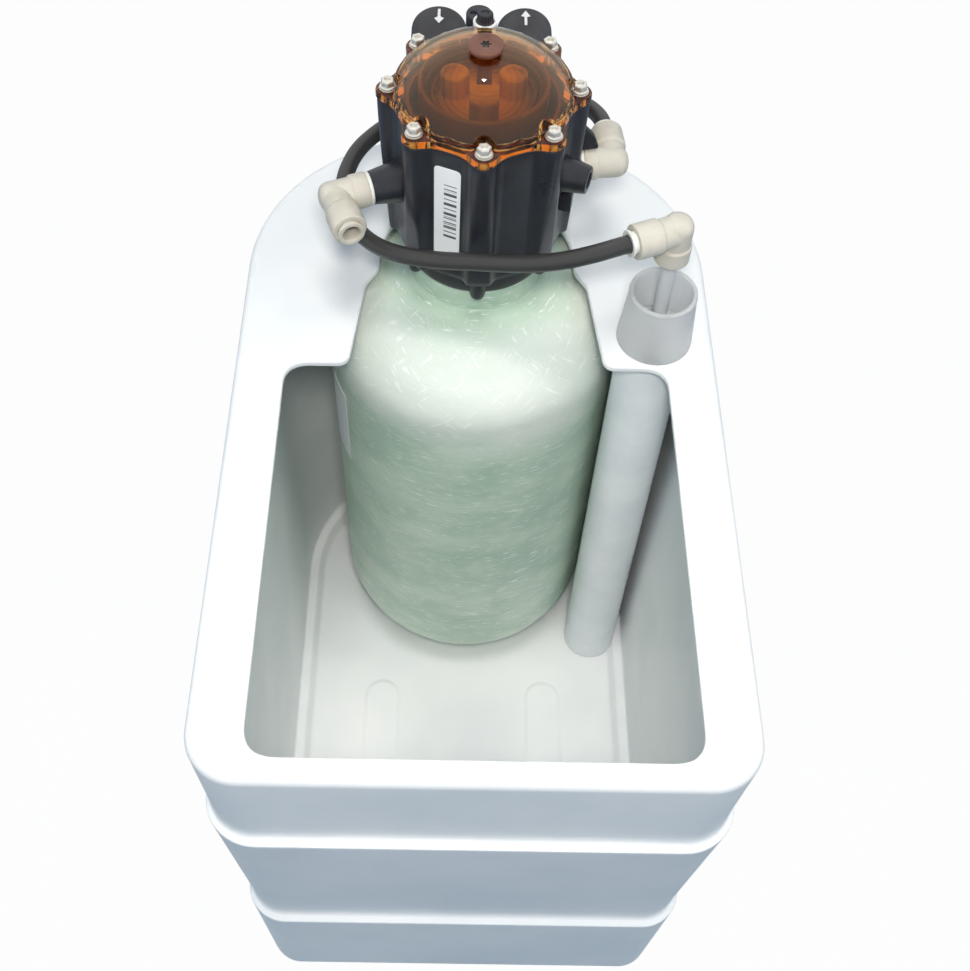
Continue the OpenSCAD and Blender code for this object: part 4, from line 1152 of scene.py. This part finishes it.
@dataclass
class ValveHead:
    """Black valve body with eight screw columns, its clear cover, fasteners and rear ports."""

    base: float = 410.0
    top: float = 499.0
    panel: float = 46.66
    circle: float = 50.0
    column: float = 6.0
    foot: float = 51.5
    neck: float = 39.0
    neck_top: float = 404.0
    rim: float = 38.0
    columns: int = 8
    per_column: int = 48
    cover_radius: float = 47.0
    cover_edge: float = 7.0
    cover_rise: float = 29.0
    cover_wall: float = 3.0
    cover_hollow: float = 44.0
    lip: float = 0.7
    flange: float = 4.5
    shaft: float = 4.06
    vent: Tuple[float, float] = (32.0, 518.5)
    plug: Tuple[float, float] = (-2.5, 67.0)
    drain: Tuple[float, float] = (200.8, 455.0)
    port: Tuple[float, float] = (6.0, 450.0)
    spare: Tuple[float, float] = (-20.8, 463.0)
    stub_bore: float = 6.06
    band: float = 41.5
    band_bore: float = 39.05
    band_foot: float = 394.0
    lug_circle: float = 40.9
    lug: float = 4.6
    sleeves: Tuple[float, float] = (25.0, 465.0)
    sleeve: float = 16.3
    arrow_reach: float = 92.0

    def angles(self) -> Array:
        """Angles round the head, evenly spaced, with one on every column."""
        return around(self.columns * self.per_column)

    def off(self, a: Array) -> Array:
        """Turn from the nearest column, at each angle."""
        pitch = 2 * np.pi / self.columns
        return (a + pitch / 2) % pitch - pitch / 2

    def reach(self, a: Array, radius: float, panel: Any, blend: float, root: float) -> Array:
        """Outline with wings: the larger of the panel, a round column and the wings that run out to it.

        A wing is the line from 43 along and root across to 53 along and 6 across, seen from the column's spoke.

        Args:
            a: angles.
            radius: radius of a column.
            panel: distance of the panels, one for all or one for each angle.
            blend: size of the blend.
            root: half the width of a pair of wings at their root.
        Returns:
            Distance from the axis at each angle.
        """
        d = self.off(a)
        across = self.circle * np.sin(d)
        lump = self.circle * np.cos(d) + np.sqrt(np.maximum(radius ** 2 - across ** 2, 0.0))
        lump = lump - 8.0 * np.maximum(np.abs(across) - radius, 0.0)
        slope = (43.0 * (root - 6.0) + 10.0 * root) / ((root - 6.0) * np.cos(d) + 10.0 * np.abs(np.sin(d)))
        wing = -smooth_max(-slope, -(self.circle + self.column / 2) / np.cos(d), 2.0)
        return smooth_max(smooth_max(wing, lump, 1.6), panel, blend)

    def panels(self, a: Array) -> Array:
        """Distance of the flat panels between the columns, at each angle."""
        return self.panel / np.cos(np.pi / self.columns - np.abs(self.off(a)))

    def level(self, radius: Any, height: float) -> Array:
        """One level loop round the axis, from a radius or one for each angle."""
        return polar(radius, self.angles(), height)[None]

    def surface(self, a: Array, z: Array) -> Array:
        """Distance of the body's side from the axis: its outline, held inside a cone that opens upwards.

        Args:
            a: angles.
            z: heights, with as many axes as the angles.
        Returns:
            The distances.
        """
        full = self.reach(a, self.column, self.panels(a), 4.0, 9.5)
        share = (z - self.base) / (self.top - self.base)
        limit = self.foot + share * (self.circle + self.column + 1.0 - self.foot)
        full, limit = np.broadcast_arrays(full, limit)
        return -smooth_max(-full, -limit, 1.6)

    def body(self) -> None:
        """Make the body with its inner walls, and add what stands out from it."""
        a = self.angles()
        z = np.concatenate([self.base + np.array([0.0, 0.25, 0.8]), np.linspace(self.base + 4, self.top - 3, 22),
                            self.top - np.array([0.9, 0.3])])
        r = self.surface(a[None], z[:, None])
        r[[0, -1]] -= 0.8
        r[[1, -2]] -= 0.25
        inner = [self.level(*spot) for spot in (
            (self.rim + 0.6, self.top), (self.rim, self.top - 0.6), (self.rim, 475.0), (30.0, 475.0), (30.0, 414.0),
            (13.6, 414.0), (13.6, self.neck_top))]
        low = [self.level(self.neck, self.neck_top), self.level(self.neck, self.base)]
        net = np.concatenate([*low, polar(r, a, z[:, None]), self.level(r[-1] - 0.6, self.top), *inner])
        skin = Skin()
        skin.grid(AXIS.put(net), tube=True, paint=(np.arange(len(net)) == len(low) + len(z)).astype(int))
        self.stubs(skin)
        skin.build("valve_body_skin", [Finish.BODY, Finish.SEAT], "base", "black_plastic", ["valve_body"], 38.0)

    def spoke(self, angle: float, z: float, reach: float) -> Place:
        """Place on a spoke from the axis, looking outwards, with local +X straight down."""
        a = np.radians(angle)
        return Place((reach * np.cos(a), AXIS_Y + reach * np.sin(a), z), (np.cos(a), np.sin(a), 0.0),
                     (0.0, 0.0, -1.0))

    def rearward(self, side: float) -> Place:
        """Place of a rear nipple, looking back: -1 is the left one and 1 the right one."""
        return Place((side * self.sleeves[0], AXIS_Y, self.sleeves[1]), (0.0, 1.0, 0.0), (0.0, 0.0, 1.0))

    def stubs(self, skin: Skin) -> None:
        """Add the side stubs, the gusset, the lug, the nipples and the rear boss to the body's mesh.

        Args:
            skin: the body's mesh.
        """
        for stub, end, r, bore in ((self.drain, 64.0, 9.0, self.stub_bore), (self.spare, 62.0, 7.5, 4.6),
                                   (self.port, 55.0, 9.0, self.stub_bore)):
            place = self.spoke(*stub, 0.0)
            ring = eased([(bore, 40.0, 0), (r + 3.7, 40.0, 0), (r, end, 0.7), (bore, end, 0.5)], closed=True, steps=4)
            skin.grid(turned(ring, place, 48), tube=True)
            dark = np.array([[0.0, -13.0], [bore + 0.2, -13.0], [bore + 0.2, -14.0], [0.0, -14.0]]) + [0.0, end]
            skin.grid(turned(dark, place, 48))
        fin = eased([(42.0, 450.0, 0), (52.0, 450.0, 0), (52.0, 461.0, 1.0), (65.0, 462.0, 1.5), (62.0, 470.0, 2.0),
                     (42.0, 492.0, 0)], closed=True, steps=4)
        self.prism(skin, fin, np.radians(self.port[0]), 2.0)
        lug = eased([(44.0, 434.0, 0), (53.0, 434.0, 1.2), (53.0, 446.0, 1.2), (44.0, 446.0, 0)], closed=True,
                    steps=4)
        self.prism(skin, lug, np.radians(-14.8), 3.0)
        for side in (-1.0, 1.0):
            ring = eased([(8.0, 30.0, 0), (13.0, 30.0, 0), (13.0, 64.0, 0.6), (8.0, 64.0, 0.6)], closed=True, steps=4)
            skin.grid(turned(ring, self.rearward(side), 48), tube=True)
        boss = eased([(0.0, 452.0, 0), (6.0, 452.0, 1.0), (6.0, 494.0, 0.4), (0.0, 494.0, 0)], steps=4)
        skin.grid(turned(boss, Place((self.plug[0], AXIS_Y + self.plug[1], 0.0)), 48))
        web = eased([(44.0, 452.0, 0), (64.0, 452.0, 0), (64.0, 493.5, 0), (44.0, 493.5, 0)], closed=True)
        self.prism(skin, web, np.radians(90.0), 4.0)

    def prism(self, skin: Skin, outline: Array, turn: float, half: float) -> None:
        """Add a flat rib that stands on a spoke: an outline of reach and height, with softened sides.

        Args:
            skin: the mesh that gets it.
            outline: reach from the axis and height.
            turn: the spoke's angle.
            half: half the rib's thickness.
        """
        middle = outline.mean(0)
        across = np.array([-half, -half, -half + 0.5, half - 0.5, half, half])
        shrink = np.array([0.0, 0.97, 1.0, 1.0, 0.97, 0.0])
        flat = middle + shrink[:, None, None] * (outline - middle)[None]
        c, s = np.cos(turn), np.sin(turn)
        along, over = flat[..., 0], across[:, None]
        skin.grid(AXIS.put(np.stack([along * c - over * s, along * s + over * c, flat[..., 1]], -1)))

    def ring(self) -> None:
        """Make the coupling ring: a band whose outline swells at six round lugs that hang below it."""
        a = self.angles()
        d = a % (np.pi / 3) - np.pi / 6
        across = self.lug_circle * np.sin(d)
        swell = 1 / (1 + np.exp((np.abs(across) - 4.3) * 4.0))
        lug = self.lug_circle * np.cos(d) + np.sqrt(np.maximum(self.lug ** 2 - across ** 2, 0.0))
        foot = self.band_foot - 2.5 * swell * np.sqrt(np.maximum(1 - (across / self.lug) ** 2, 0.0))
        share = np.array([[0.0, 0.0, 0.03, 0.08, 0.2, 0.4, 0.6, 0.74, 0.8, 0.84, 0.88, 0.92, 0.96, 0.99, 1.0]]).T
        fade = np.clip((0.9 - share) / 0.14, 0.0, 1.0)
        fade = fade * fade * (3 - 2 * fade)
        r = self.band + (smooth_max(lug, self.band, 1.2) - self.band) * fade
        r[[0, 1, 2, 3]] -= np.array([1.6, 1.6, 0.7, 0.2])[:, None]
        r[[-1, -2]] -= np.array([0.6, 0.15])[:, None]
        z = foot + share * (self.base - foot)
        z[1] += 0.02
        inner = [self.level(self.band_bore, height) for height in (self.base - 0.02, foot + 0.02)]
        piece("neck_ring_skin", AXIS.put(np.concatenate([polar(r, a, z), *inner])), [Finish.BODY], "black_plastic",
              ["neck_ring"], tube=True)

    def cover(self) -> None:
        """Make the clear cover: a hollow dome with a pocket at each screw and a winged flange."""
        a = self.angles()
        d = self.off(a)
        cap = self.cover_rise - self.cover_edge
        ball = (self.cover_radius ** 2 + cap ** 2) / (2 * cap)
        centre = self.top + self.cover_rise - ball
        across = self.circle * np.sin(d)
        pocket = self.column + 0.8
        near = self.circle * np.cos(d) - np.sqrt(np.maximum(pocket ** 2 - across ** 2, 0.0))
        cut = -smooth_max(-near, -self.cover_radius, 1.6)
        outline = self.reach(a, self.column + 0.5, self.cover_radius + 0.4, 4.0, 14.0)
        seat = self.top + self.flange
        lip = cut - self.lip
        r = self.shaft + 0.5 + np.linspace(0.0, 1.0, 40)[:, None] * (lip - self.shaft - 0.5)
        brink = centre + np.sqrt(ball ** 2 - lip ** 2)
        turn = np.linspace(0.0, np.pi / 2, 5)[1:, None]
        rows = [polar(r, a, centre + np.sqrt(ball ** 2 - r ** 2)),
                polar(lip + self.lip * np.sin(turn), a, brink - self.lip * (1 - np.cos(turn)))]
        foot = np.minimum(cut + 1.6, outline - 0.3)
        for back, up in ((0.0, 1.8), (0.2, 0.7), (0.6, 0.15), (1.0, 0.0)):
            rows.append(self.level(cut + (foot - cut) * back, seat + up))
        rows.append(self.level(np.maximum(outline - 0.8, foot + 0.02), seat))
        for out, down in ((0.25, 0.12), (0.0, 0.8), (0.0, self.flange - 0.35), (0.3, self.flange - 0.02)):
            rows.append(self.level(outline - out, seat - down))
        hollow = -smooth_max(-self.cover_hollow, -(cut - 2.3), 1.5)
        rows.append(self.level(hollow, self.top + 0.02))
        r = self.shaft + np.linspace(1.0, 0.0, 24)[:, None] * (hollow - self.shaft)
        rows.append(polar(r, a, centre + np.sqrt((ball - self.cover_wall) ** 2 - r ** 2)))
        rows.append(self.level(self.shaft, centre + np.sqrt(ball ** 2 - self.shaft ** 2) - 0.3))
        piece("dome_cover_skin", AXIS.put(np.concatenate(rows)), [Finish.AMBER], "amber_cover", ["dome_cover"],
              tube=True, crease=34.0)

    def screws(self) -> None:
        """Make the eight cover screws with a hexagon head on a flange, and their washers."""
        heads, washers = Skin(), Skin()
        a = around(48)
        wedge = (a + np.pi / 6) % (np.pi / 3) - np.pi / 6
        hexagon = 3.2 / np.cos(wedge)
        levels = [(0.0, 0, 483.5), (1.7, 0, 483.5), (1.7, 0, 504.3), (3.9, 0, 504.3), (4.3, 0, 504.6),
                  (4.3, 0, 505.1), (4.0, 0, 505.5), (0.1, 1, 505.7), (0.1, 1, 508.0), (-0.15, 1, 508.6),
                  (-0.7, 1, 509.0), (1.9, 0, 509.1), (1.5, 0, 508.7), (1.2, 0, 507.7), (0.0, 0, 507.6)]
        r = np.stack([hexagon + size if hexed else np.full_like(a, size) for size, hexed, _ in levels])
        head = polar(r, a, np.array([[z] for _, _, z in levels]))
        washer = turned(eased([(1.9, 503.5, 0), (4.7, 503.5, 0.3), (4.7, 504.3, 0.3), (1.9, 504.3, 0)], closed=True,
                              steps=4), Place((0.0, 0.0, 0.0)), 48)
        for k in range(self.columns):
            t = k * np.pi / 4
            spot = Place((self.circle * np.cos(t), AXIS_Y + self.circle * np.sin(t), 0.0),
                         side=(np.cos(t * 1.7), np.sin(t * 1.7), 0.0))
            heads.grid(spot.put(head))
            washers.grid(spot.put(washer), tube=True)
        heads.build("cover_screw_heads", [Finish.ZINC], "base", "zinc_screw", ["cover_screws"])
        washers.build("cover_screw_washers", [Finish.ZINC], "base", "zinc_screw", ["cover_washers"])

    def bleed(self) -> None:
        """Make the vent screw, a ribbed cylinder with a dished top, and its washer with a raised rim."""
        reach, z = self.vent
        place = Place((0.0, AXIS_Y + reach, z))
        a = around(90)
        ribs = 0.18 * np.cos(18 * a)
        levels = np.array([(0.0, -8.0, 0.0), (1.7, -8.0, 0.0), (1.7, 1.5, 0.0), (4.6, 1.5, 0.0), (4.8, 1.8, 0.0),
                           (4.8, 3.4, 0.0), (4.3, 3.9, 0.6), (4.1, 4.4, 1.0), (4.1, 7.6, 1.0), (3.7, 8.4, 0.4),
                           (3.2, 8.5, 0.0), (2.2, 8.5, 0.0), (1.9, 7.9, 0.0), (0.0, 7.8, 0.0)])
        net = polar(levels[:, :1] + levels[:, 2:] * ribs, a, levels[:, 1:2])
        piece("vent_screw_skin", place.put(net), [Finish.BODY], "black_plastic", ["vent_screw"], "bleed_screw")
        washer = eased([(1.8, 0.0, 0), (6.3, 0.0, 0.4), (6.3, 3.7, 0.6), (5.0, 3.7, 0.3), (5.0, 1.45, 0),
                        (1.8, 1.45, 0)], closed=True, steps=4)
        piece("vent_washer_skin", turned(washer, place, 56), [Finish.COLLET], "white_plastic", ["vent_washer"],
              tube=True)

    def knob(self) -> None:
        """Make the start knob: a flat disc with a stepped rim and a star recess in its top, darkened with the seal
        finish as painted shade.
        """
        a = around(96)
        star = 2.35 + 0.6 * np.cos(6 * a)
        disc = eased([(0.0, 528.4, 0), (8.4, 528.4, 0.3), (8.6, 529.6, 0.3), (9.3, 529.8, 0.3), (9.3, 531.2, 0.5),
                      (8.6, 532.0, 0.6), (4.2, 532.0, 0.6), (3.6, 531.6, 0.4), (3.3, 531.6, 0.2)], steps=4)
        r = np.concatenate([np.broadcast_to(disc[:, :1], (len(disc), 96)), star[None], star[None] - 0.15,
                            np.zeros((1, 96))])
        z = np.concatenate([disc[:, 1], [531.6, 530.3, 530.3]])[:, None]
        # the star recess's wall and floor take the dark seal finish as painted shade
        piece("start_knob_skin", AXIS.put(polar(r, a, z)), [Finish.KNOB, Finish.SEAL], "knob_plastic", ["start_knob"],
              "control_train", paint=np.r_[np.zeros(len(disc), int), 1, 1])

    def label(self) -> None:
        """Stick the white label with plain bars on the panel left of the front column."""
        outline = eased([(-7.6, 424.0, 2.6), (7.2, 424.0, 2.6), (7.2, 488.0, 2.6), (-7.6, 488.0, 2.6)], closed=True,
                        steps=8)
        flat = badge(resampled(outline, 1.0), 0.25, 12)
        a, z = np.radians(-112.5) + flat[..., 0] / self.panel, flat[..., 1]
        net = polar(self.surface(a, z) + 0.02 + flat[..., 2], a, z)
        piece("body_label", AXIS.put(net), [Finish.BARS], "white_plastic")

    def disc(self) -> None:
        """Make the control disc: a floor with a high rim and a low ring, two round lobes and a tower."""
        skin = Skin()
        dish = eased([(4.03, 495.0, 0), (9.0, 495.0, 0), (9.0, 496.0, 0), (34.0, 496.0, 0.5), (34.0, 508.5, 0.8),
                      (32.0, 509.5, 0.8), (30.6, 506.0, 1.2), (29.4, 505.0, 0.8), (29.0, 500.5, 0.8),
                      (27.5, 502.5, 0.6), (26.0, 502.5, 0.6), (25.2, 499.0, 0.8), (8.0, 499.0, 0.6), (7.0, 503.0, 0.6),
                      (4.03, 503.0, 0)], closed=True, steps=4)
        skin.grid(turned(dish, AXIS, 96), tube=True)
        lobe = eased([(0.0, 498.0, 0), (7.5, 498.0, 0), (7.5, 511.0, 1.6), (4.6, 511.0, 0.8), (4.0, 509.6, 0.6),
                      (0.0, 509.6, 0)], steps=5)
        for side in (-1.0, 1.0):
            skin.grid(turned(lobe, Place((15.0 * side, AXIS_Y + 4.0, 0.0)), 48))
        tower = eased([(8.0, 498.0, 0), (20.0, 498.0, 0), (20.0, 510.0, 2.5), (17.0, 513.0, 2.0), (8.0, 513.0, 1.0)],
                      closed=True, steps=4)
        self.prism(skin, tower, np.radians(-90.0), 7.5)
        skin.build("control_disc_skin", [Finish.DISC], "control_train", "mechanism_plastic", ["control_disc"])

    def rear(self) -> None:
        """Make the rear sleeves with their arrows, and the plug with two key holes."""
        outer = self.sleeve
        for side, name in ((-1, "inlet_sleeve"), (1, "outlet_sleeve")):
            ring = eased([(13.03, 50.0, 0.4), (outer, 50.0, 1.5), (outer, 102.0, 1.5), (10.5, 102.0, 0.6),
                          (10.5, 64.0, 0), (13.03, 64.0, 0)], closed=True, steps=5)
            piece(name + "_skin", turned(ring, self.rearward(side), 72), [Finish.SLEEVE], "black_plastic", [name],
                  tube=True)
            arrow = np.array([(-0.65, -5.5), (0.65, -5.5), (0.65, 1.5), (2.3, 1.5), (0.0, 5.5), (-2.3, 1.5),
                              (-0.65, 1.5)])
            arrow = resampled(arrow * 1.2, 0.5) * [1.0, side] + [0.0, self.arrow_reach]
            net = badge(arrow[::side], 0.2)
            net[..., 2] += np.sqrt(outer ** 2 - net[..., 0] ** 2)
            top = Place((side * self.sleeves[0], AXIS_Y, self.sleeves[1]))
            piece(name + "_arrow", top.put(net), [Finish.INK], "white_plastic")
        a = around(72)
        face = np.linspace(6.7, 0.0, 26)[:, None]
        holes = np.hypot(np.abs(face * np.cos(a)) - 3.1, face * np.sin(a))
        dent = 2.0 / (1 + np.exp((holes - 1.55) * 7.0))
        shank = eased([(0.0, 482.0, 0), (5.0, 482.0, 0.4), (5.0, 494.0, 0), (7.2, 494.0, 0.5), (7.2, 501.5, 0.6),
                       (6.75, 502.0, 0)], steps=4)
        low = np.broadcast_to(shank[:, None], (len(shank), 72, 2))
        r = np.concatenate([low[..., 0], np.broadcast_to(face, dent.shape)])
        z = np.concatenate([low[..., 1], 502.0 - dent])
        top = Place((self.plug[0], AXIS_Y + self.plug[1], 0.0))
        piece("rear_plug_skin", top.put(polar(r, a, z)), [Finish.BODY], "black_plastic", ["rear_plug"])


def badge(outline: Array, thickness: float, rings: int = 1) -> Array:
    """A thin plate with a soft upper edge: its outline, drawn in to the middle on both faces.

    Args:
        outline: points (x, y) round it.
        thickness: its thickness.
        rings: loops across each face.
    Returns:
        The net, by level and point.
    """
    middle = outline.mean(0)
    faces = np.arange(rings) / rings
    draw = np.concatenate([faces, [1.0, 1.0, 0.985], faces[::-1]])[:, None, None]
    z = np.concatenate([np.zeros(rings), [0.0, 0.7, 1.0], np.ones(rings)])[:, None, None] * thickness
    flat = middle + draw * (outline - middle)
    return np.concatenate([flat, np.broadcast_to(z, (*flat.shape[:2], 1))], -1)


@dataclass
class Fittings:
    """Grey push-fit elbows with their release collets."""

    radius: float = 9.5
    stem: float = 6.0
    socket: float = 14.0
    bore: float = 4.9

    def elbow(self, name: str, start: Place, run: float, leg_way: Triple, leg: float, body: str, stem: float) -> None:
        """Make an elbow: a stem, a run with a rounded knuckle, and a leg with a collared socket.

        Args:
            name: the node that it stands for.
            start: where the run starts, looking along it.
            run: length of the run to the corner.
            leg_way: direction of the leg.
            leg: length of the leg.
            body: the body that it rides on.
            stem: length of the stem.
        """
        r = self.radius
        skin = Skin()
        barrel = eased([(0.0, -stem - 0.01, 0), (self.stem, -stem - 0.01, 0.4), (self.stem, 0.0, 0), (r, 0.0, 0.8),
                        (r, run - r, 0.8), (r - 1.0, run - r + 0.8, 0.6), (r - 0.9, run, 0),
                        (r - 1.0, run + 5.2, 3.0), (r - 4.5, run + 8.6, 3.0), (0.0, run + 9.0, 0)], steps=6)
        if stem == 0.0:
            barrel = barrel[barrel[:, 1] > -0.005]
            barrel = np.vstack([[[0.0, 0.0]], barrel])
        skin.grid(turned(barrel, start, 56))
        corner = Place(start.step(run).origin, leg_way, (0.0, 0.0, 1.0))
        end = leg - self.socket
        sleeve = eased([(0.0, -6.0, 0), (r - 3.0, -6.0, 1.5), (r - 1.0, -2.0, 2.0), (r - 1.0, end - 1.0, 0.6),
                        (r, end + 0.4, 0.6), (r, leg, 0.9), (6.35, leg, 0.5), (6.35, leg - 7.6, 0),
                        (self.bore, leg - 7.6, 0), (self.bore, end, 0), (0.0, end, 0)], steps=6)
        deep = (sleeve[:-1, 1] > 0) & (sleeve[1:, 0] <= self.bore + 0.01)
        skin.grid(turned(sleeve, corner, 56), paint=deep.astype(int))
        skin.build(name + "_skin", [Finish.FITTING, Finish.SEAL], body, "grey_fitting", [name])

    def collet(self, name: str, corner: Place, leg: float, body: str, finish: Finish, slot: str) -> None:
        """Make a collet: a split ring with a thin flange outside the socket.

        Args:
            name: the node that it stands for.
            corner: the elbow's corner, looking along the leg.
            leg: length of the leg.
            body: the body that it rides on.
            finish: its finish.
            slot: passed on to piece, and not used there.
        """
        ring = eased([(self.bore, leg - 6.0, 0.3), (6.2, leg - 6.0, 0.3), (6.2, leg + 2.0, 0), (7.35, leg + 2.0, 0.3),
                      (7.35, leg + 3.2, 0.4), (self.bore, leg + 3.2, 0.5)], closed=True, steps=4)
        piece(name + "_skin", turned(ring, corner, 56), [finish], slot, [name], body, tube=True)

    def build(self, head: ValveHead, well: Tuple[float, float]) -> None:
        """Make the three elbows and their collets.

        Args:
            head: the valve head, whose stubs carry two of them.
            well: place of the brine well.
        """
        drain, port = head.spoke(*head.drain, 66.0), head.spoke(*head.port, 57.0)
        riser = Place((well[0], well[1], 444.0))
        drain_leg, port_leg, well_leg = ((np.cos(turn), np.sin(turn), 0.0) for turn in np.radians(
            [head.drain[0] + 90.0, head.port[0] + 90.0, Hose.well_angle]))
        for name, start, run, way, leg, stem, bodies, finish, slot in (
                ("drain", drain, 18.0, drain_leg, 27.0, 22.0, ("drain_fitting", "drain_release"), Finish.FITTING,
                 "grey_fitting"),
                ("port", port, 17.0, port_leg, 24.0, 22.0, ("base", "port_release"), Finish.COLLET, "white_collet"),
                ("well", riser, 20.0, well_leg, 25.0, 0.0, ("base", "well_release"), Finish.COLLET, "white_collet")):
            self.elbow(name + "_elbow", start, run, way, leg, bodies[0], stem)
            corner = Place(start.step(run).origin, way, (0.0, 0.0, 1.0))
            self.collet(name + "_collet", corner, leg, bodies[1], finish, slot)
        rings = Skin()
        bore = head.stub_bore
        for place in (drain, port):
            ring = eased([(bore, 0.0, 0.3), (9.3, 0.0, 0.7), (9.3, 2.0, 0.7), (bore, 2.0, 0.3)], closed=True, steps=5)
            rings.grid(turned(ring, place.step(-2.0), 56), tube=True)
        rings.build("lock_ring_skins", [Finish.COLLET], "base", "white_plastic", ["lock_rings"])


@dataclass
class BrineWell:
    """Brine well: a pale tube in the salt space, a milky cup on the plate and a milky riser."""

    place: Tuple[float, float] = (102.03, 51.02)
    tube_base: float = 8.8
    tube_top: float = 386.0
    radius: float = 19.5
    wall: float = 2.0
    cup: float = 38.0

    def build(self) -> None:
        """Turn the tube and the cup about the well's axis, and give the riser node its finish."""
        axis = Place((self.place[0], self.place[1], 0.0))
        r, w = self.radius, self.wall
        tube = eased([(r - w, self.tube_base, 0.3), (r + 0.1, self.tube_base, 1.6), (r + 0.1, 20.0, 0),
                      (r, self.tube_top, 0.6), (r - w, self.tube_top, 0.6)], closed=True, steps=4)
        piece("well_tube_skin", turned(tube, axis, 72), [Finish.TUBE], "well_plastic", ["well_tube"], tube=True)
        z = PLATE_Z
        cup = eased([(r + 0.03, z + 0.02, 0.2), (r + 2.2, z + 0.02, 0.8), (r - 0.7, z + self.cup - 2.0, 0.4),
                     (r - 0.5, z + self.cup - 1.8, 0.3), (r - 0.5, z + self.cup, 0.8), (r - 3.1, z + self.cup, 0.8),
                     (r - w, z + 6.1, 0.4), (r + 0.03, z + 6.1, 0.2)], closed=True, steps=5)
        piece("well_cup_skin", turned(cup, axis, 96), [Finish.CUP], "cup_plastic", ["well_collar"], tube=True)
        dress(Finish.RISER, "brine_riser")


def main() -> None:
    """Build the camera and the hose first, then the pieces."""
    logging.basicConfig(level=logging.INFO, format="%(name)s: %(message)s")
    studio = Studio()
    studio.camera()
    Hose().build()
    Cabinet().build()
    Tank().build()
    head = ValveHead()
    for make in (head.body, head.cover, head.screws, head.bleed, head.knob, head.label, head.disc, head.ring,
                 head.rear):
        make()
    well = BrineWell()
    Fittings().build(head, well.place)
    well.build()
    dress(Finish.SEAL, "neck_seal", "cover_gasket", "sleeve_seals")
    dress(Finish.RESIN, "resin_bed")
    dress(Finish.INNER, "distributor_pipe", "lower_basket", "upper_basket", "piston", "turbine", "well_foot",
          "air_check", "float", "float_stops")
    dress(Finish.WORKS, "control_gear", "idler_gear")
    dress(Finish.WORKS_DARK, "mechanism_plate", "control_shaft")
    dress(Finish.STEEL, "idler_pin", "turbine_pin", "piston_rod")
    dress(Finish.BALL, "check_ball")
    studio.light()
    studio.floor()


if __name__ == "__main__":
    main()
